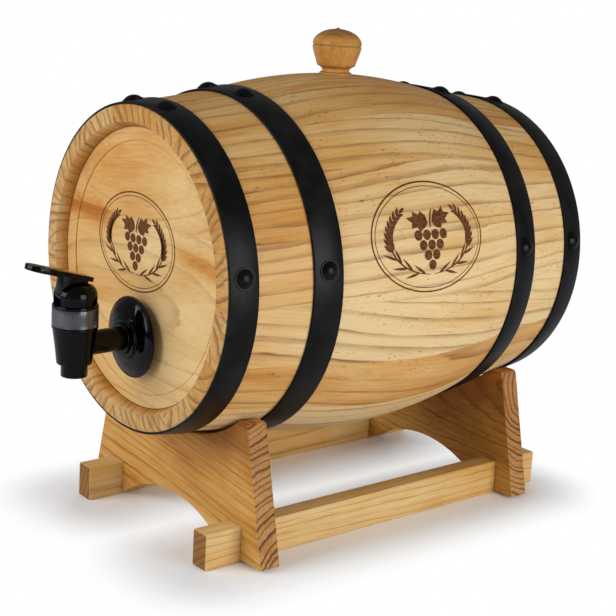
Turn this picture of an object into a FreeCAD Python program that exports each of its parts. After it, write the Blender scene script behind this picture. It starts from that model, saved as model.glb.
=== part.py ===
"""Table-top oak cask with a lever tap, lying in a two-cradle stand.

All lengths are in millimetres.  Z points up from the table, Y runs along the cask from the
front head (negative) to the rear head (positive) and X points to the right of somebody who
looks from the front head to the rear head.  Shapes are built with Y = 0 at the middle of the
cask; write_parts() then moves everything along Y so that the origin lies under the middle of
the whole object's bounding box.
"""
import FreeCAD, Part

import math
import os

from FreeCAD import Vector

# --- Cask shell -------------------------------------------------------------------------
CASK_LENGTH = 267.0           # over the chimes
CASK_AXIS_HEIGHT = 152.5      # cask axis above the table
END_RADIUS = 87.9             # outside of the staves at the chime
KINK_RADIUS = 96.7            # outside of the staves where the taper meets the belly arc
BELLY_RADIUS = 104.5          # outside of the staves at mid-length
TAPER_LENGTH = 66.5           # straight tapered length at each end
STAVE_THICKNESS = 12.3
CHIME_OUTER_CHAMFER = 0.8
CHIME_BEVEL_WIDTH = 3.4       # how much the inner bevel thins the staves at the chime
CHIME_BEVEL_STOP = 0.3        # the inner bevel ends this far in front of the head's rim
BUNG_STAVE_ANGLE = 29.0       # the bung stave is the widest one, in degrees
SIDE_STAVE_SHARES = (18.4, 18.4, 20.8, 20.8, 20.8, 20.8, 18.2, 18.2)   # from the bung stave down
BOTTOM_STAVE_SHARE = 18.2     # shares of what the bung stave leaves of the ring

# --- Heads ------------------------------------------------------------------------------
HEAD_RECESS = 7.9             # from the chime to the flat middle of the head
HEAD_THICKNESS = 9.0
HEAD_TONGUE_THICKNESS = 4.0   # rim of the head that sits in the croze groove
HEAD_RIM_WIDTH = 7.8          # sloped border between the flat middle and the staves
HEAD_RIM_RISE = 1.6           # how far the border stands out at the staves
HEAD_TONGUE_SETBACK = 3.1     # outer side of the tongue behind the flat middle
CROZE_DEPTH = 2.5
CROZE_BOTTOM_CLEARANCE = 0.2
HEAD_WALL_CLEARANCE = 0.15
HEAD_BOARD_SEAM = 26.5        # height of the two board seams above and below the axis
HEAD_DOWEL_RADIUS = 3.0
HEAD_DOWEL_LENGTH = 24.0
HEAD_DOWEL_SPREAD = 35.0      # each seam has a dowel at this distance on either side
HEAD_DOWEL_CLEARANCE = 0.05
HEAD_DOWEL_END_GAP = 0.5

# --- Hoops and their nails --------------------------------------------------------------
HOOP_THICKNESS = 1.3
HOOP_CLEARANCE = 0.12
HOOP_EDGE_CHAMFER = 0.25
CHIME_HOOP_INSET = 1.0        # from the chime to the hoop's outer edge
CHIME_HOOP_WIDTH = 16.5
BILGE_HOOP_INSET = 49.7
BILGE_HOOP_WIDTH = 17.5
NAIL_ANGLES = (8.0, 80.0, 100.0, 172.0)   # around the cask, from +X towards +Z
NAIL_HEAD_RADIUS = 5.75
NAIL_RIM_WIDTH = 0.7
NAIL_RIM_THICKNESS = 0.5
NAIL_DOME_HEIGHT = 2.7
NAIL_SHANK_RADIUS = 1.0
NAIL_SHANK_LENGTH = 8.0
NAIL_CLEARANCE = 0.05
NAIL_TIP_GAP = 0.4
NAIL_HEAD_GAP = 0.015         # under the head, on the hoop's curved surface

# --- Bung -------------------------------------------------------------------------------
BUNG_PLACE = 4.0              # bung hole behind the middle of the cask
BUNG_HOLE_RADIUS = 8.0
BUNG_SEAT_RADIUS = 9.8        # flat spot-faced seat around the hole
BUNG_SEAT_DEPTH = 0.5
KNOB_BASE_RADIUS = 9.35
KNOB_BASE_HEIGHT = 1.0
KNOB_NECK_RADIUS = 7.8
KNOB_NECK_HEIGHT = 2.6
KNOB_BOWL_FOOT_RADIUS = 10.9
KNOB_BOWL_FOOT_HEIGHT = 5.0
KNOB_BEAD_HEIGHT = 6.2
KNOB_BEAD_DEPTH = 0.35
KNOB_RADIUS = 14.25
KNOB_BOWL_SWELL = 0.72        # share of the bowl's widening that it has at its middle
KNOB_BOWL_SAG = 0.8           # bowl's middle below half its height
KNOB_GROOVE_HEIGHT = 16.7
KNOB_GROOVE_DEPTH = 0.6
KNOB_DOME_HEIGHT = 26.0
KNOB_DOME_MIDDLE = 52.0       # a point of the dome's arc, in degrees from the top
KNOB_TIP_RADIUS = 1.1
KNOB_TIP_HEIGHT = 0.7
BUNG_PLUG_RADIUS = 6.0
BUNG_PLUG_LENGTH = 13.0       # below the seat
BUNG_PLUG_FLANGE_RADIUS = 7.2
BUNG_PLUG_FLANGE_THICKNESS = 2.0
BUNG_SLEEVE_CLEARANCE = 0.08  # to the hole
BUNG_SLEEVE_BORE_CLEARANCE = 0.05
BUNG_SLEEVE_END_GAP = 0.15

# --- Tap --------------------------------------------------------------------------------
TAP_DROP = 37.5               # tap shank axis below the cask axis
TAP_REACH = 40.6              # upright axis of the tap in front of the head's flat middle
SHANK_RADIUS = 6.6
SHANK_BORE_RADIUS = 4.2
SHANK_HOLE_CLEARANCE = 0.2
SHANK_FIT_CLEARANCE = 0.08    # of the pieces threaded on the shank
SHANK_PROTRUSION = 3.5        # past the lock nut
COLLAR_RADIUS = 9.0
COLLAR_THICKNESS = 1.5
BAND_RADIUS = 12.25           # bonnet ring
BAND_TOP = 22.5               # heights from here on are above the shank axis
BAND_BOTTOM = 9.5
BAND_CHAMFER = 0.45
BODY_TOP_RADIUS = 11.9
BODY_FOOT_RADIUS = 9.55
BODY_FOOT = -9.1
BODY_FOOT_ROUND = 0.9
SPOUT_RADIUS = 7.15
SPOUT_BOTTOM = -16.9
SPOUT_BORE_RADIUS = 4.4
SPOUT_CHAMFER = 0.5
CHAMBER_RADIUS = 7.8
CHAMBER_FLOOR = -4.5
NECK_RADIUS = 10.2
NECK_CLEARANCE = 0.1
BONNET_PLATE_THICKNESS = 2.5
DOME_RADIUS = 11.5
DOME_HEIGHT = 11.2
DOME_ROUND = 6.4
LEVER_SLOT_WIDTH = 7.2
LEVER_PIN_RADIUS = 1.5
LEVER_PIN_FORWARD = 7.2       # lever pin in front of the tap's upright axis
LEVER_PIN_RISE = 5.5          # lever pin above the bonnet plate
LEVER_PIN_WALL = 1.3          # cheek left over the blind end of the pin's hole
LEVER_PIN_FIT = 0.03
LEVER_PIN_RUNNING_CLEARANCE = 0.06
LEVER_REST_ANGLE = 15.0       # paddle end up, in degrees
LEVER_SIDE_CLEARANCE = 0.35
LEVER_HUB_RADIUS = 3.5
LEVER_PLATE_HEIGHT = 9.8      # plate underside above the pin, square to the plate
LEVER_PLATE_THICKNESS = 2.5
LEVER_PLATE_WIDTH = 10.0
LEVER_FRONT = 25.3            # plate ends, along the plate from the pin
LEVER_REAR = 12.6
LEVER_PAD_WIDTH = 13.5
LEVER_PAD_LENGTH = 17.0
LEVER_PAD_THICKNESS = 4.0
LEVER_EDGE_ROUND = 0.6
LEVER_BLOCK_FRONT = 4.7
LEVER_BLOCK_REAR = 0.6
LEVER_WEB_THICKNESS = 1.3
LEVER_WEB_TOP_REAR = 11.0     # rear end of the webs under the plate
LINK_PIN_RADIUS = 1.4
LINK_PIN_WALL = 1.5           # web left around the link pin
LINK_PIN_FIT = 0.03
STEM_RADIUS = 2.2
STEM_GUIDE_CLEARANCE = 0.08
STEM_BLADE_WIDTH = 6.4
STEM_BLADE_CLEARANCE = 0.3
STEM_BLADE_LIFT = 0.2         # blade foot above the bonnet plate when the tap is shut
STEM_EYE_CLEARANCE = 0.08     # above and below the link pin
STEM_EYE_SIDE_PLAY = 0.5
STEM_EYE_WALL = 1.2
STEM_COLLAR_RADIUS = 5.4
STEM_COLLAR_THICKNESS = 1.2
SPRING_LENGTH = 13.6          # between the stem collar and the bonnet plate, tap shut
SPRING_COIL_RADIUS = 4.2
SPRING_WIRE_RADIUS = 0.45
SPRING_TURNS = 5
SPRING_END_GAP = 0.05
SEAT_CUP_RADIUS = 6.2
SEAT_CUP_FOOT_RADIUS = 5.2
SEAT_CUP_HEIGHT = 3.6
SEAT_CUP_SOCKET_DEPTH = 2.2
SEAT_CUP_SOCKET_CLEARANCE = 0.05
SEAT_GAP = 0.05
ROSETTE_RADIUS = 22.5
ROSETTE_RIM_THICKNESS = 1.0
ROSETTE_BOSS_RADIUS = 12.0
ROSETTE_BOSS_FOOT = 4.6       # where the dome meets the boss, from the rosette's flat back
ROSETTE_THICKNESS = 6.3       # from its flat back to the boss's front
ROSETTE_DOME_SAG = 0.6
ROSETTE_BOSS_CHAMFER = 0.6
OUTER_GASKET_RADIUS = 13.0
OUTER_GASKET_THICKNESS = 5.1
INNER_GASKET_RADIUS = 11.0
INNER_GASKET_THICKNESS = 2.5
LOCK_NUT_ACROSS_FLATS = 22.0
LOCK_NUT_THICKNESS = 8.0

# --- Stand ------------------------------------------------------------------------------
BOARD_THICKNESS = 13.0
FRONT_BOARD_GAP = 3.2         # front board to the front bilge hoop
REAR_BOARD_GAP = 2.0          # rear board to the rear chime hoop
SADDLE_CLEARANCE = 0.3
EAR_ANGLE = 36.9              # how far the narrower saddle wraps, from straight down, degrees
EAR_WIDTH = 8.0
EAR_ROUND = 2.5
FOOT_FLARE = 18.0             # foot corner outside the ear corner
FOOT_LIFT = 1.5               # board feet above the table
FOOT_ROUND = 1.5
ARCH_HALF_WIDTH = 51.0
ARCH_RISE = 17.5
BOARD_EDGE_ROUND = 0.8
RAIL_INNER_SPACING = 106.8
RAIL_THICKNESS = 12.0
RAIL_HEIGHT = 20.7
RAIL_OVERHANG = 23.0          # past the outer faces of the boards
RAIL_EDGE_ROUND = 1.0
NOTCH_CLEARANCE = 0.1
SCREW_RADIUS = 1.9
SCREW_HEAD_RADIUS = 3.8
SCREW_LENGTH = 38.0
SCREW_HEAD_DEPTH = 0.8        # head below the rail's underside
SCREW_CLEARANCE = 0.05

# --- Derived places ---------------------------------------------------------------------
UP = Vector(0, 0, 1)
ALONG = Vector(0, 1, 0)
ACROSS = Vector(1, 0, 0)
TURN_AXIS = Vector(0, -1, 0)          # turns +X towards +Z

HALF_LENGTH = CASK_LENGTH / 2
KINK_PLACE = HALF_LENGTH - TAPER_LENGTH
AXIS_POINT = Vector(0, 0, CASK_AXIS_HEIGHT)
HEAD_FACE = HALF_LENGTH - HEAD_RECESS
HEAD_BACK = HEAD_FACE - HEAD_THICKNESS
HEAD_RIM_FACE = HEAD_FACE + HEAD_RIM_RISE
TONGUE_FACE = HEAD_FACE - HEAD_TONGUE_SETBACK
TONGUE_BACK = TONGUE_FACE - HEAD_TONGUE_THICKNESS
CHIME_HOOP_OUTER = HALF_LENGTH - CHIME_HOOP_INSET
CHIME_HOOP_INNER = CHIME_HOOP_OUTER - CHIME_HOOP_WIDTH
BILGE_HOOP_OUTER = HALF_LENGTH - BILGE_HOOP_INSET
BILGE_HOOP_INNER = BILGE_HOOP_OUTER - BILGE_HOOP_WIDTH
TAPER_SLOPE = math.atan2(KINK_RADIUS - END_RADIUS, TAPER_LENGTH)
BUNG_SEAT = CASK_AXIS_HEIGHT + BELLY_RADIUS - BUNG_SEAT_DEPTH

SHANK_HEIGHT = CASK_AXIS_HEIGHT - TAP_DROP
TAP_PLACE = -(HEAD_FACE + TAP_REACH)
BONNET_PLATE_BOTTOM = BAND_TOP - BONNET_PLATE_THICKNESS
LEVER_PIN_PLACE = TAP_PLACE - LEVER_PIN_FORWARD
LEVER_PIN_HEIGHT = SHANK_HEIGHT + BAND_TOP + LEVER_PIN_RISE
REST_TILT = math.radians(LEVER_REST_ANGLE)
LINK_PIN_DROP = LEVER_PIN_FORWARD * math.tan(REST_TILT)
LINK_ARM = LEVER_PIN_FORWARD / math.cos(REST_TILT)
LEVER_HALF_WIDTH = LEVER_SLOT_WIDTH / 2 - LEVER_SIDE_CLEARANCE
SHANK_END = -(HEAD_BACK - INNER_GASKET_THICKNESS - LOCK_NUT_THICKNESS - SHANK_PROTRUSION)

FRONT_BOARD_INNER = -(BILGE_HOOP_OUTER + FRONT_BOARD_GAP)
FRONT_BOARD_OUTER = FRONT_BOARD_INNER - BOARD_THICKNESS
REAR_BOARD_OUTER = CHIME_HOOP_INNER - REAR_BOARD_GAP
REAR_BOARD_INNER = REAR_BOARD_OUTER - BOARD_THICKNESS
RAIL_PLACE = (RAIL_INNER_SPACING + RAIL_THICKNESS) / 2


# --- Helpers ----------------------------------------------------------------------------
def line(start, end):
    """Straight edge between two points."""
    return Part.LineSegment(start, end).toShape()


def arc(start, middle, end):
    """Circular edge through three points."""
    return Part.Arc(start, middle, end).toShape()


def face_of(edges):
    """Plane face inside a closed ring of edges."""
    return Part.Face(Part.Wire(edges))


def polygon_face(points):
    """Plane face inside a closed ring of corners."""
    return Part.Face(Part.makePolygon(list(points) + [points[0]]))


def cylinder(radius, base, direction, length):
    """Solid cylinder that starts at base and runs along direction."""
    return Part.makeCylinder(radius, length, base, direction)


def box(low, high):
    """Solid box between two opposite corners."""
    size = high - low
    return Part.makeBox(size.x, size.y, size.z, low)


def across_box(half_width, low_y, high_y, low_z, high_z):
    """Box that is centred on the plane X = 0."""
    return box(Vector(-half_width, low_y, low_z), Vector(half_width, high_y, high_z))


def mirrored_y(shape):
    """The same shape at the other end of the cask."""
    return shape.mirror(Vector(0, 0, 0), ALONG)


def turned(face, centre, axis):
    """Solid of revolution of a face about an axis."""
    return face.revolve(centre, axis, 360)


def outer_radius(place):
    """Outside radius of the staves at a distance along Y from the middle of the cask."""
    distance = abs(place)
    if distance >= KINK_PLACE:
        share = (HALF_LENGTH - distance) / TAPER_LENGTH
        return END_RADIUS + share * (KINK_RADIUS - END_RADIUS)
    rise = BELLY_RADIUS - KINK_RADIUS
    arc_radius = (KINK_PLACE ** 2 + rise ** 2) / (2 * rise)
    return BELLY_RADIUS - arc_radius + math.sqrt(arc_radius ** 2 - distance ** 2)


def inner_radius(place):
    """Inside radius of the staves."""
    return outer_radius(place) - STAVE_THICKNESS


def upright(place, radius):
    """Point straight above the cask axis."""
    return Vector(0, place, CASK_AXIS_HEIGHT + radius)


def turn_about_axis(shape, angle):
    """Turn a copy of a shape about the cask axis, from the top towards an angle from +X."""
    copy = shape.copy()
    copy.rotate(AXIS_POINT, TURN_AXIS, angle - 90)
    return copy


# --- Cask shell -------------------------------------------------------------------------
def half_stave_edges(side):
    """Edges of a stave's long section for one end; side is -1 at the front, 1 at the rear."""
    end = HALF_LENGTH
    bevel_end = HEAD_RIM_FACE + CHIME_BEVEL_STOP
    croze = inner_radius(TONGUE_FACE) + CROZE_DEPTH
    points = [
        upright(side * KINK_PLACE, KINK_RADIUS),
        upright(side * (end - CHIME_OUTER_CHAMFER), outer_radius(end - CHIME_OUTER_CHAMFER)),
        upright(side * end, END_RADIUS - CHIME_OUTER_CHAMFER),
        upright(side * end, inner_radius(end) + CHIME_BEVEL_WIDTH),
        upright(side * bevel_end, inner_radius(bevel_end)),
        upright(side * TONGUE_FACE, inner_radius(TONGUE_FACE)),
        upright(side * TONGUE_FACE, croze),
        upright(side * TONGUE_BACK, croze),
        upright(side * TONGUE_BACK, inner_radius(TONGUE_BACK)),
        upright(side * KINK_PLACE, KINK_RADIUS - STAVE_THICKNESS),
    ]
    return [line(points[i], points[i + 1]) for i in range(len(points) - 1)]


def stave_section():
    """Long section of a stave, above the cask axis."""
    outside = arc(
        upright(-KINK_PLACE, KINK_RADIUS),
        upright(0, BELLY_RADIUS),
        upright(KINK_PLACE, KINK_RADIUS),
    )
    inside = arc(
        upright(-KINK_PLACE, KINK_RADIUS - STAVE_THICKNESS),
        upright(0, BELLY_RADIUS - STAVE_THICKNESS),
        upright(KINK_PLACE, KINK_RADIUS - STAVE_THICKNESS),
    )
    edges = half_stave_edges(-1) + half_stave_edges(1) + [outside, inside]
    return face_of(Part.__sortEdges__(edges))


def stave_starts():
    """Start angle and width of every stave, the bung stave first, then once around the cask."""
    shares = SIDE_STAVE_SHARES + (BOTTOM_STAVE_SHARE,) + SIDE_STAVE_SHARES[::-1]
    scale = (360 - BUNG_STAVE_ANGLE) / sum(shares)
    start = 90 + BUNG_STAVE_ANGLE / 2
    starts = [(start - BUNG_STAVE_ANGLE, BUNG_STAVE_ANGLE)]
    for share in shares:
        starts.append((start, share * scale))
        start += share * scale
    return starts


def bung_hole():
    """What the bung hole and its flat seat take out of the bung stave."""
    base = Vector(0, BUNG_PLACE, CASK_AXIS_HEIGHT)
    hole = cylinder(BUNG_HOLE_RADIUS, base, UP, BELLY_RADIUS + BUNG_HOLE_RADIUS)
    seat_base = Vector(0, BUNG_PLACE, BUNG_SEAT)
    seat = cylinder(BUNG_SEAT_RADIUS, seat_base, UP, BUNG_SEAT_RADIUS)
    return hole.fuse(seat)


def make_staves(nail_pilots):
    """All staves, by node name; the top one has the bung hole."""
    section = stave_section()
    staves = {}
    for number, (start, width) in enumerate(stave_starts()):
        face = turn_about_axis(section, start)
        stave = face.revolve(AXIS_POINT, TURN_AXIS, width)
        for angle, pilot in nail_pilots:
            if (angle - start) % 360 < width:
                stave = stave.cut(pilot)
        if number == 0:
            staves["bung_stave"] = stave.cut(bung_hole())
        else:
            staves["stave_%02d" % number] = stave
    return staves


# --- Heads ------------------------------------------------------------------------------
def head_edge(place):
    """Radius of a head where it meets the inside of the staves."""
    return inner_radius(place) - HEAD_WALL_CLEARANCE


def head_disc():
    """The whole front head before it is divided into boards."""
    tongue = inner_radius(TONGUE_FACE) + CROZE_DEPTH - CROZE_BOTTOM_CLEARANCE
    back_bevel = TONGUE_BACK - HEAD_BACK
    outline = [
        upright(-HEAD_BACK, 0),
        upright(-HEAD_FACE, 0),
        upright(-HEAD_FACE, head_edge(HEAD_RIM_FACE) - HEAD_RIM_WIDTH),
        upright(-HEAD_RIM_FACE, head_edge(HEAD_RIM_FACE)),
        upright(-TONGUE_FACE, head_edge(TONGUE_FACE)),
        upright(-TONGUE_FACE, tongue),
        upright(-TONGUE_BACK, tongue),
        upright(-TONGUE_BACK, head_edge(TONGUE_BACK)),
        upright(-HEAD_BACK, head_edge(TONGUE_BACK) - 2 * back_bevel),
    ]
    return turned(polygon_face(outline), AXIS_POINT, ALONG)


def head_dowels(radius, length):
    """Dowels across the two board seams of the front head."""
    middle = -(HEAD_FACE + HEAD_BACK) / 2
    dowels = []
    for seam in (-HEAD_BOARD_SEAM, HEAD_BOARD_SEAM):
        for across in (-HEAD_DOWEL_SPREAD, HEAD_DOWEL_SPREAD):
            base = Vector(across, middle, CASK_AXIS_HEIGHT + seam - length / 2)
            dowels.append(cylinder(radius, base, UP, length))
    return dowels


def head_boards():
    """Lower, middle and upper board of a front head, without the tap hole."""
    hole_radius = HEAD_DOWEL_RADIUS + HEAD_DOWEL_CLEARANCE
    holes = head_dowels(hole_radius, HEAD_DOWEL_LENGTH + 2 * HEAD_DOWEL_END_GAP)
    disc = head_disc().cut(Part.Compound(holes))
    reach = END_RADIUS
    levels = [-reach, -HEAD_BOARD_SEAM, HEAD_BOARD_SEAM, reach]
    boards = []
    for low, high in zip(levels, levels[1:]):
        slab = across_box(reach, -HALF_LENGTH, 0, CASK_AXIS_HEIGHT + low, CASK_AXIS_HEIGHT + high)
        boards.append(disc.common(slab))
    return boards


def make_heads():
    """Boards and dowels of both heads, by node name."""
    lower, middle, upper = head_boards()
    dowels = Part.Compound(head_dowels(HEAD_DOWEL_RADIUS, HEAD_DOWEL_LENGTH))
    tap_hole = cylinder(
        SHANK_RADIUS + SHANK_HOLE_CLEARANCE,
        Vector(0, -HALF_LENGTH, SHANK_HEIGHT),
        ALONG,
        HALF_LENGTH,
    )
    return {
        "front_head_lower_board": lower.cut(tap_hole),
        "front_head_middle_board": middle,
        "front_head_upper_board": upper,
        "front_head_dowels": dowels,
        "rear_head_lower_board": mirrored_y(lower),
        "rear_head_middle_board": mirrored_y(middle),
        "rear_head_upper_board": mirrored_y(upper),
        "rear_head_dowels": mirrored_y(dowels),
    }


# --- Hoops and nails --------------------------------------------------------------------
def hoop_inside(place):
    """Inside radius of a hoop, which continues the taper of the staves."""
    share = (HALF_LENGTH - abs(place)) / TAPER_LENGTH
    return END_RADIUS + share * (KINK_RADIUS - END_RADIUS) + HOOP_CLEARANCE


def hoop(outer_place, inner_place):
    """Conical steel hoop at the front end, between two distances from the middle."""
    near, far = -outer_place, -inner_place
    chamfer = HOOP_EDGE_CHAMFER
    near_radius = hoop_inside(near) + HOOP_THICKNESS
    far_radius = hoop_inside(far) + HOOP_THICKNESS
    outline = [
        upright(near, hoop_inside(near)),
        upright(near, near_radius - chamfer),
        upright(near + chamfer, near_radius),
        upright(far - chamfer, far_radius),
        upright(far, far_radius - chamfer),
        upright(far, hoop_inside(far)),
    ]
    return turned(polygon_face(outline), AXIS_POINT, ALONG)


def nail():
    """Round-headed nail on the Z axis, with the underside of its head at Z = 0."""
    dome_radius = NAIL_HEAD_RADIUS - NAIL_RIM_WIDTH
    rise = NAIL_DOME_HEIGHT - NAIL_RIM_THICKNESS
    sphere_radius = (dome_radius ** 2 + rise ** 2) / (2 * rise)
    half_angle = math.asin(dome_radius / sphere_radius) / 2
    middle = Vector(
        sphere_radius * math.sin(half_angle),
        0,
        NAIL_DOME_HEIGHT - sphere_radius * (1 - math.cos(half_angle)),
    )
    tip = -NAIL_SHANK_LENGTH
    shoulder = tip + 2 * NAIL_SHANK_RADIUS
    edges = [
        line(Vector(0, 0, tip), Vector(NAIL_SHANK_RADIUS, 0, shoulder)),
        line(Vector(NAIL_SHANK_RADIUS, 0, shoulder), Vector(NAIL_SHANK_RADIUS, 0, 0)),
        line(Vector(NAIL_SHANK_RADIUS, 0, 0), Vector(NAIL_HEAD_RADIUS, 0, 0)),
        line(Vector(NAIL_HEAD_RADIUS, 0, 0), Vector(NAIL_HEAD_RADIUS, 0, NAIL_RIM_THICKNESS)),
        line(Vector(NAIL_HEAD_RADIUS, 0, NAIL_RIM_THICKNESS), Vector(dome_radius, 0, NAIL_RIM_THICKNESS)),
        arc(Vector(dome_radius, 0, NAIL_RIM_THICKNESS), middle, Vector(0, 0, NAIL_DOME_HEIGHT)),
        line(Vector(0, 0, NAIL_DOME_HEIGHT), Vector(0, 0, tip)),
    ]
    return turned(face_of(edges), Vector(0, 0, 0), UP)


def nail_hole():
    """Pilot hole for the nail, in the same place as nail()."""
    radius = NAIL_SHANK_RADIUS + NAIL_CLEARANCE
    depth = NAIL_SHANK_LENGTH + NAIL_TIP_GAP
    return cylinder(radius, Vector(0, 0, -depth), UP, depth + NAIL_HEAD_RADIUS)


def on_hoop(shape, place, angle):
    """Set a shape from the Z axis onto a front hoop, square to the hoop's surface."""
    placed = shape.copy()
    placed.rotate(Vector(0, 0, 0), ACROSS, math.degrees(TAPER_SLOPE))
    surface = hoop_inside(place) + HOOP_THICKNESS + NAIL_HEAD_GAP
    placed.translate(upright(place, surface))
    return turn_about_axis(placed, angle)


def make_hoops():
    """Hoops and nail groups by node name, and the pilot holes as (angle, shape) pairs."""
    nodes = {}
    pilots = []
    spans = {
        "chime": (CHIME_HOOP_OUTER, CHIME_HOOP_INNER),
        "bilge": (BILGE_HOOP_OUTER, BILGE_HOOP_INNER),
    }
    for kind, (outer, inner) in spans.items():
        middle = -(outer + inner) / 2
        nails = Part.Compound([on_hoop(nail(), middle, angle) for angle in NAIL_ANGLES])
        holes = [on_hoop(nail_hole(), middle, angle) for angle in NAIL_ANGLES]
        ring = hoop(outer, inner).cut(Part.Compound(holes))
        nodes["front_%s_hoop" % kind] = ring
        nodes["rear_%s_hoop" % kind] = mirrored_y(ring)
        nodes["front_%s_hoop_nails" % kind] = nails
        nodes["rear_%s_hoop_nails" % kind] = mirrored_y(nails)
        for angle, hole in zip(NAIL_ANGLES, holes):
            pilots.append((angle, hole))
            pilots.append((angle, mirrored_y(hole)))
    return nodes, pilots


# --- Bung -------------------------------------------------------------------------------
def knob_outline():
    """Half section of the turned bung knob and its plug, on the X side of the Z axis."""
    def at(radius, height):
        return Vector(radius, 0, height)

    plug_end = -BUNG_PLUG_LENGTH
    flange_top = plug_end + BUNG_PLUG_FLANGE_THICKNESS
    bead_radius = KNOB_BOWL_FOOT_RADIUS + (KNOB_BEAD_HEIGHT - KNOB_BOWL_FOOT_HEIGHT) / 2
    bead_top = KNOB_BEAD_HEIGHT + KNOB_BEAD_DEPTH
    bead_bottom = KNOB_BEAD_HEIGHT - KNOB_BEAD_DEPTH
    groove_bottom = KNOB_GROOVE_HEIGHT - KNOB_GROOVE_DEPTH
    groove_top = KNOB_GROOVE_HEIGHT + KNOB_GROOVE_DEPTH
    bowl_middle = at(
        bead_radius + KNOB_BOWL_SWELL * (KNOB_RADIUS - bead_radius),
        (bead_top + groove_bottom) / 2 - KNOB_BOWL_SAG,
    )
    dome_rise = KNOB_DOME_HEIGHT - groove_top
    dome_turn = math.radians(KNOB_DOME_MIDDLE)
    dome_middle = at(
        KNOB_RADIUS * math.sin(dome_turn), groove_top + dome_rise * math.cos(dome_turn)
    )
    tip_foot = groove_top + dome_rise * math.sqrt(1 - (KNOB_TIP_RADIUS / KNOB_RADIUS) ** 2)
    return [
        line(at(0, plug_end), at(BUNG_PLUG_FLANGE_RADIUS, plug_end)),
        line(at(BUNG_PLUG_FLANGE_RADIUS, plug_end), at(BUNG_PLUG_FLANGE_RADIUS, flange_top)),
        line(at(BUNG_PLUG_FLANGE_RADIUS, flange_top), at(BUNG_PLUG_RADIUS, flange_top)),
        line(at(BUNG_PLUG_RADIUS, flange_top), at(BUNG_PLUG_RADIUS, 0)),
        line(at(BUNG_PLUG_RADIUS, 0), at(KNOB_BASE_RADIUS, 0)),
        line(at(KNOB_BASE_RADIUS, 0), at(KNOB_BASE_RADIUS, KNOB_BASE_HEIGHT)),
        arc(
            at(KNOB_BASE_RADIUS, KNOB_BASE_HEIGHT),
            at(KNOB_NECK_RADIUS, KNOB_NECK_HEIGHT),
            at(KNOB_BOWL_FOOT_RADIUS, KNOB_BOWL_FOOT_HEIGHT),
        ),
        line(at(KNOB_BOWL_FOOT_RADIUS, KNOB_BOWL_FOOT_HEIGHT), at(bead_radius, bead_bottom)),
        line(at(bead_radius, bead_bottom), at(bead_radius - KNOB_BEAD_DEPTH, KNOB_BEAD_HEIGHT)),
        line(at(bead_radius - KNOB_BEAD_DEPTH, KNOB_BEAD_HEIGHT), at(bead_radius, bead_top)),
        arc(at(bead_radius, bead_top), bowl_middle, at(KNOB_RADIUS, groove_bottom)),
        line(at(KNOB_RADIUS, groove_bottom), at(KNOB_RADIUS - KNOB_GROOVE_DEPTH, KNOB_GROOVE_HEIGHT)),
        line(at(KNOB_RADIUS - KNOB_GROOVE_DEPTH, KNOB_GROOVE_HEIGHT), at(KNOB_RADIUS, groove_top)),
        arc(at(KNOB_RADIUS, groove_top), dome_middle, at(KNOB_TIP_RADIUS, tip_foot)),
        line(at(KNOB_TIP_RADIUS, tip_foot), at(0, KNOB_DOME_HEIGHT + KNOB_TIP_HEIGHT)),
        line(at(0, KNOB_DOME_HEIGHT + KNOB_TIP_HEIGHT), at(0, plug_end)),
    ]


def make_bung():
    """Turned wooden knob with its plug, and the silicone sleeve around the plug."""
    seat = Vector(0, BUNG_PLACE, BUNG_SEAT)
    knob = turned(face_of(knob_outline()), Vector(0, 0, 0), UP)
    knob.translate(seat)
    low = -BUNG_PLUG_LENGTH + BUNG_PLUG_FLANGE_THICKNESS + BUNG_SLEEVE_END_GAP
    length = -BUNG_SLEEVE_END_GAP - low
    base = seat + Vector(0, 0, low)
    sleeve = cylinder(BUNG_HOLE_RADIUS - BUNG_SLEEVE_CLEARANCE, base, UP, length)
    bore = cylinder(BUNG_PLUG_RADIUS + BUNG_SLEEVE_BORE_CLEARANCE, base, UP, length)
    return {"bung_knob": knob, "bung_sleeve": sleeve.cut(bore)}


# --- Tap --------------------------------------------------------------------------------
def tap_point(radius, height):
    """Point beside the tap's upright axis, at a height above the shank axis."""
    return Vector(radius, TAP_PLACE, SHANK_HEIGHT + height)


def tap_base(height):
    """Point on the tap's upright axis."""
    return tap_point(0, height)


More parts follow.
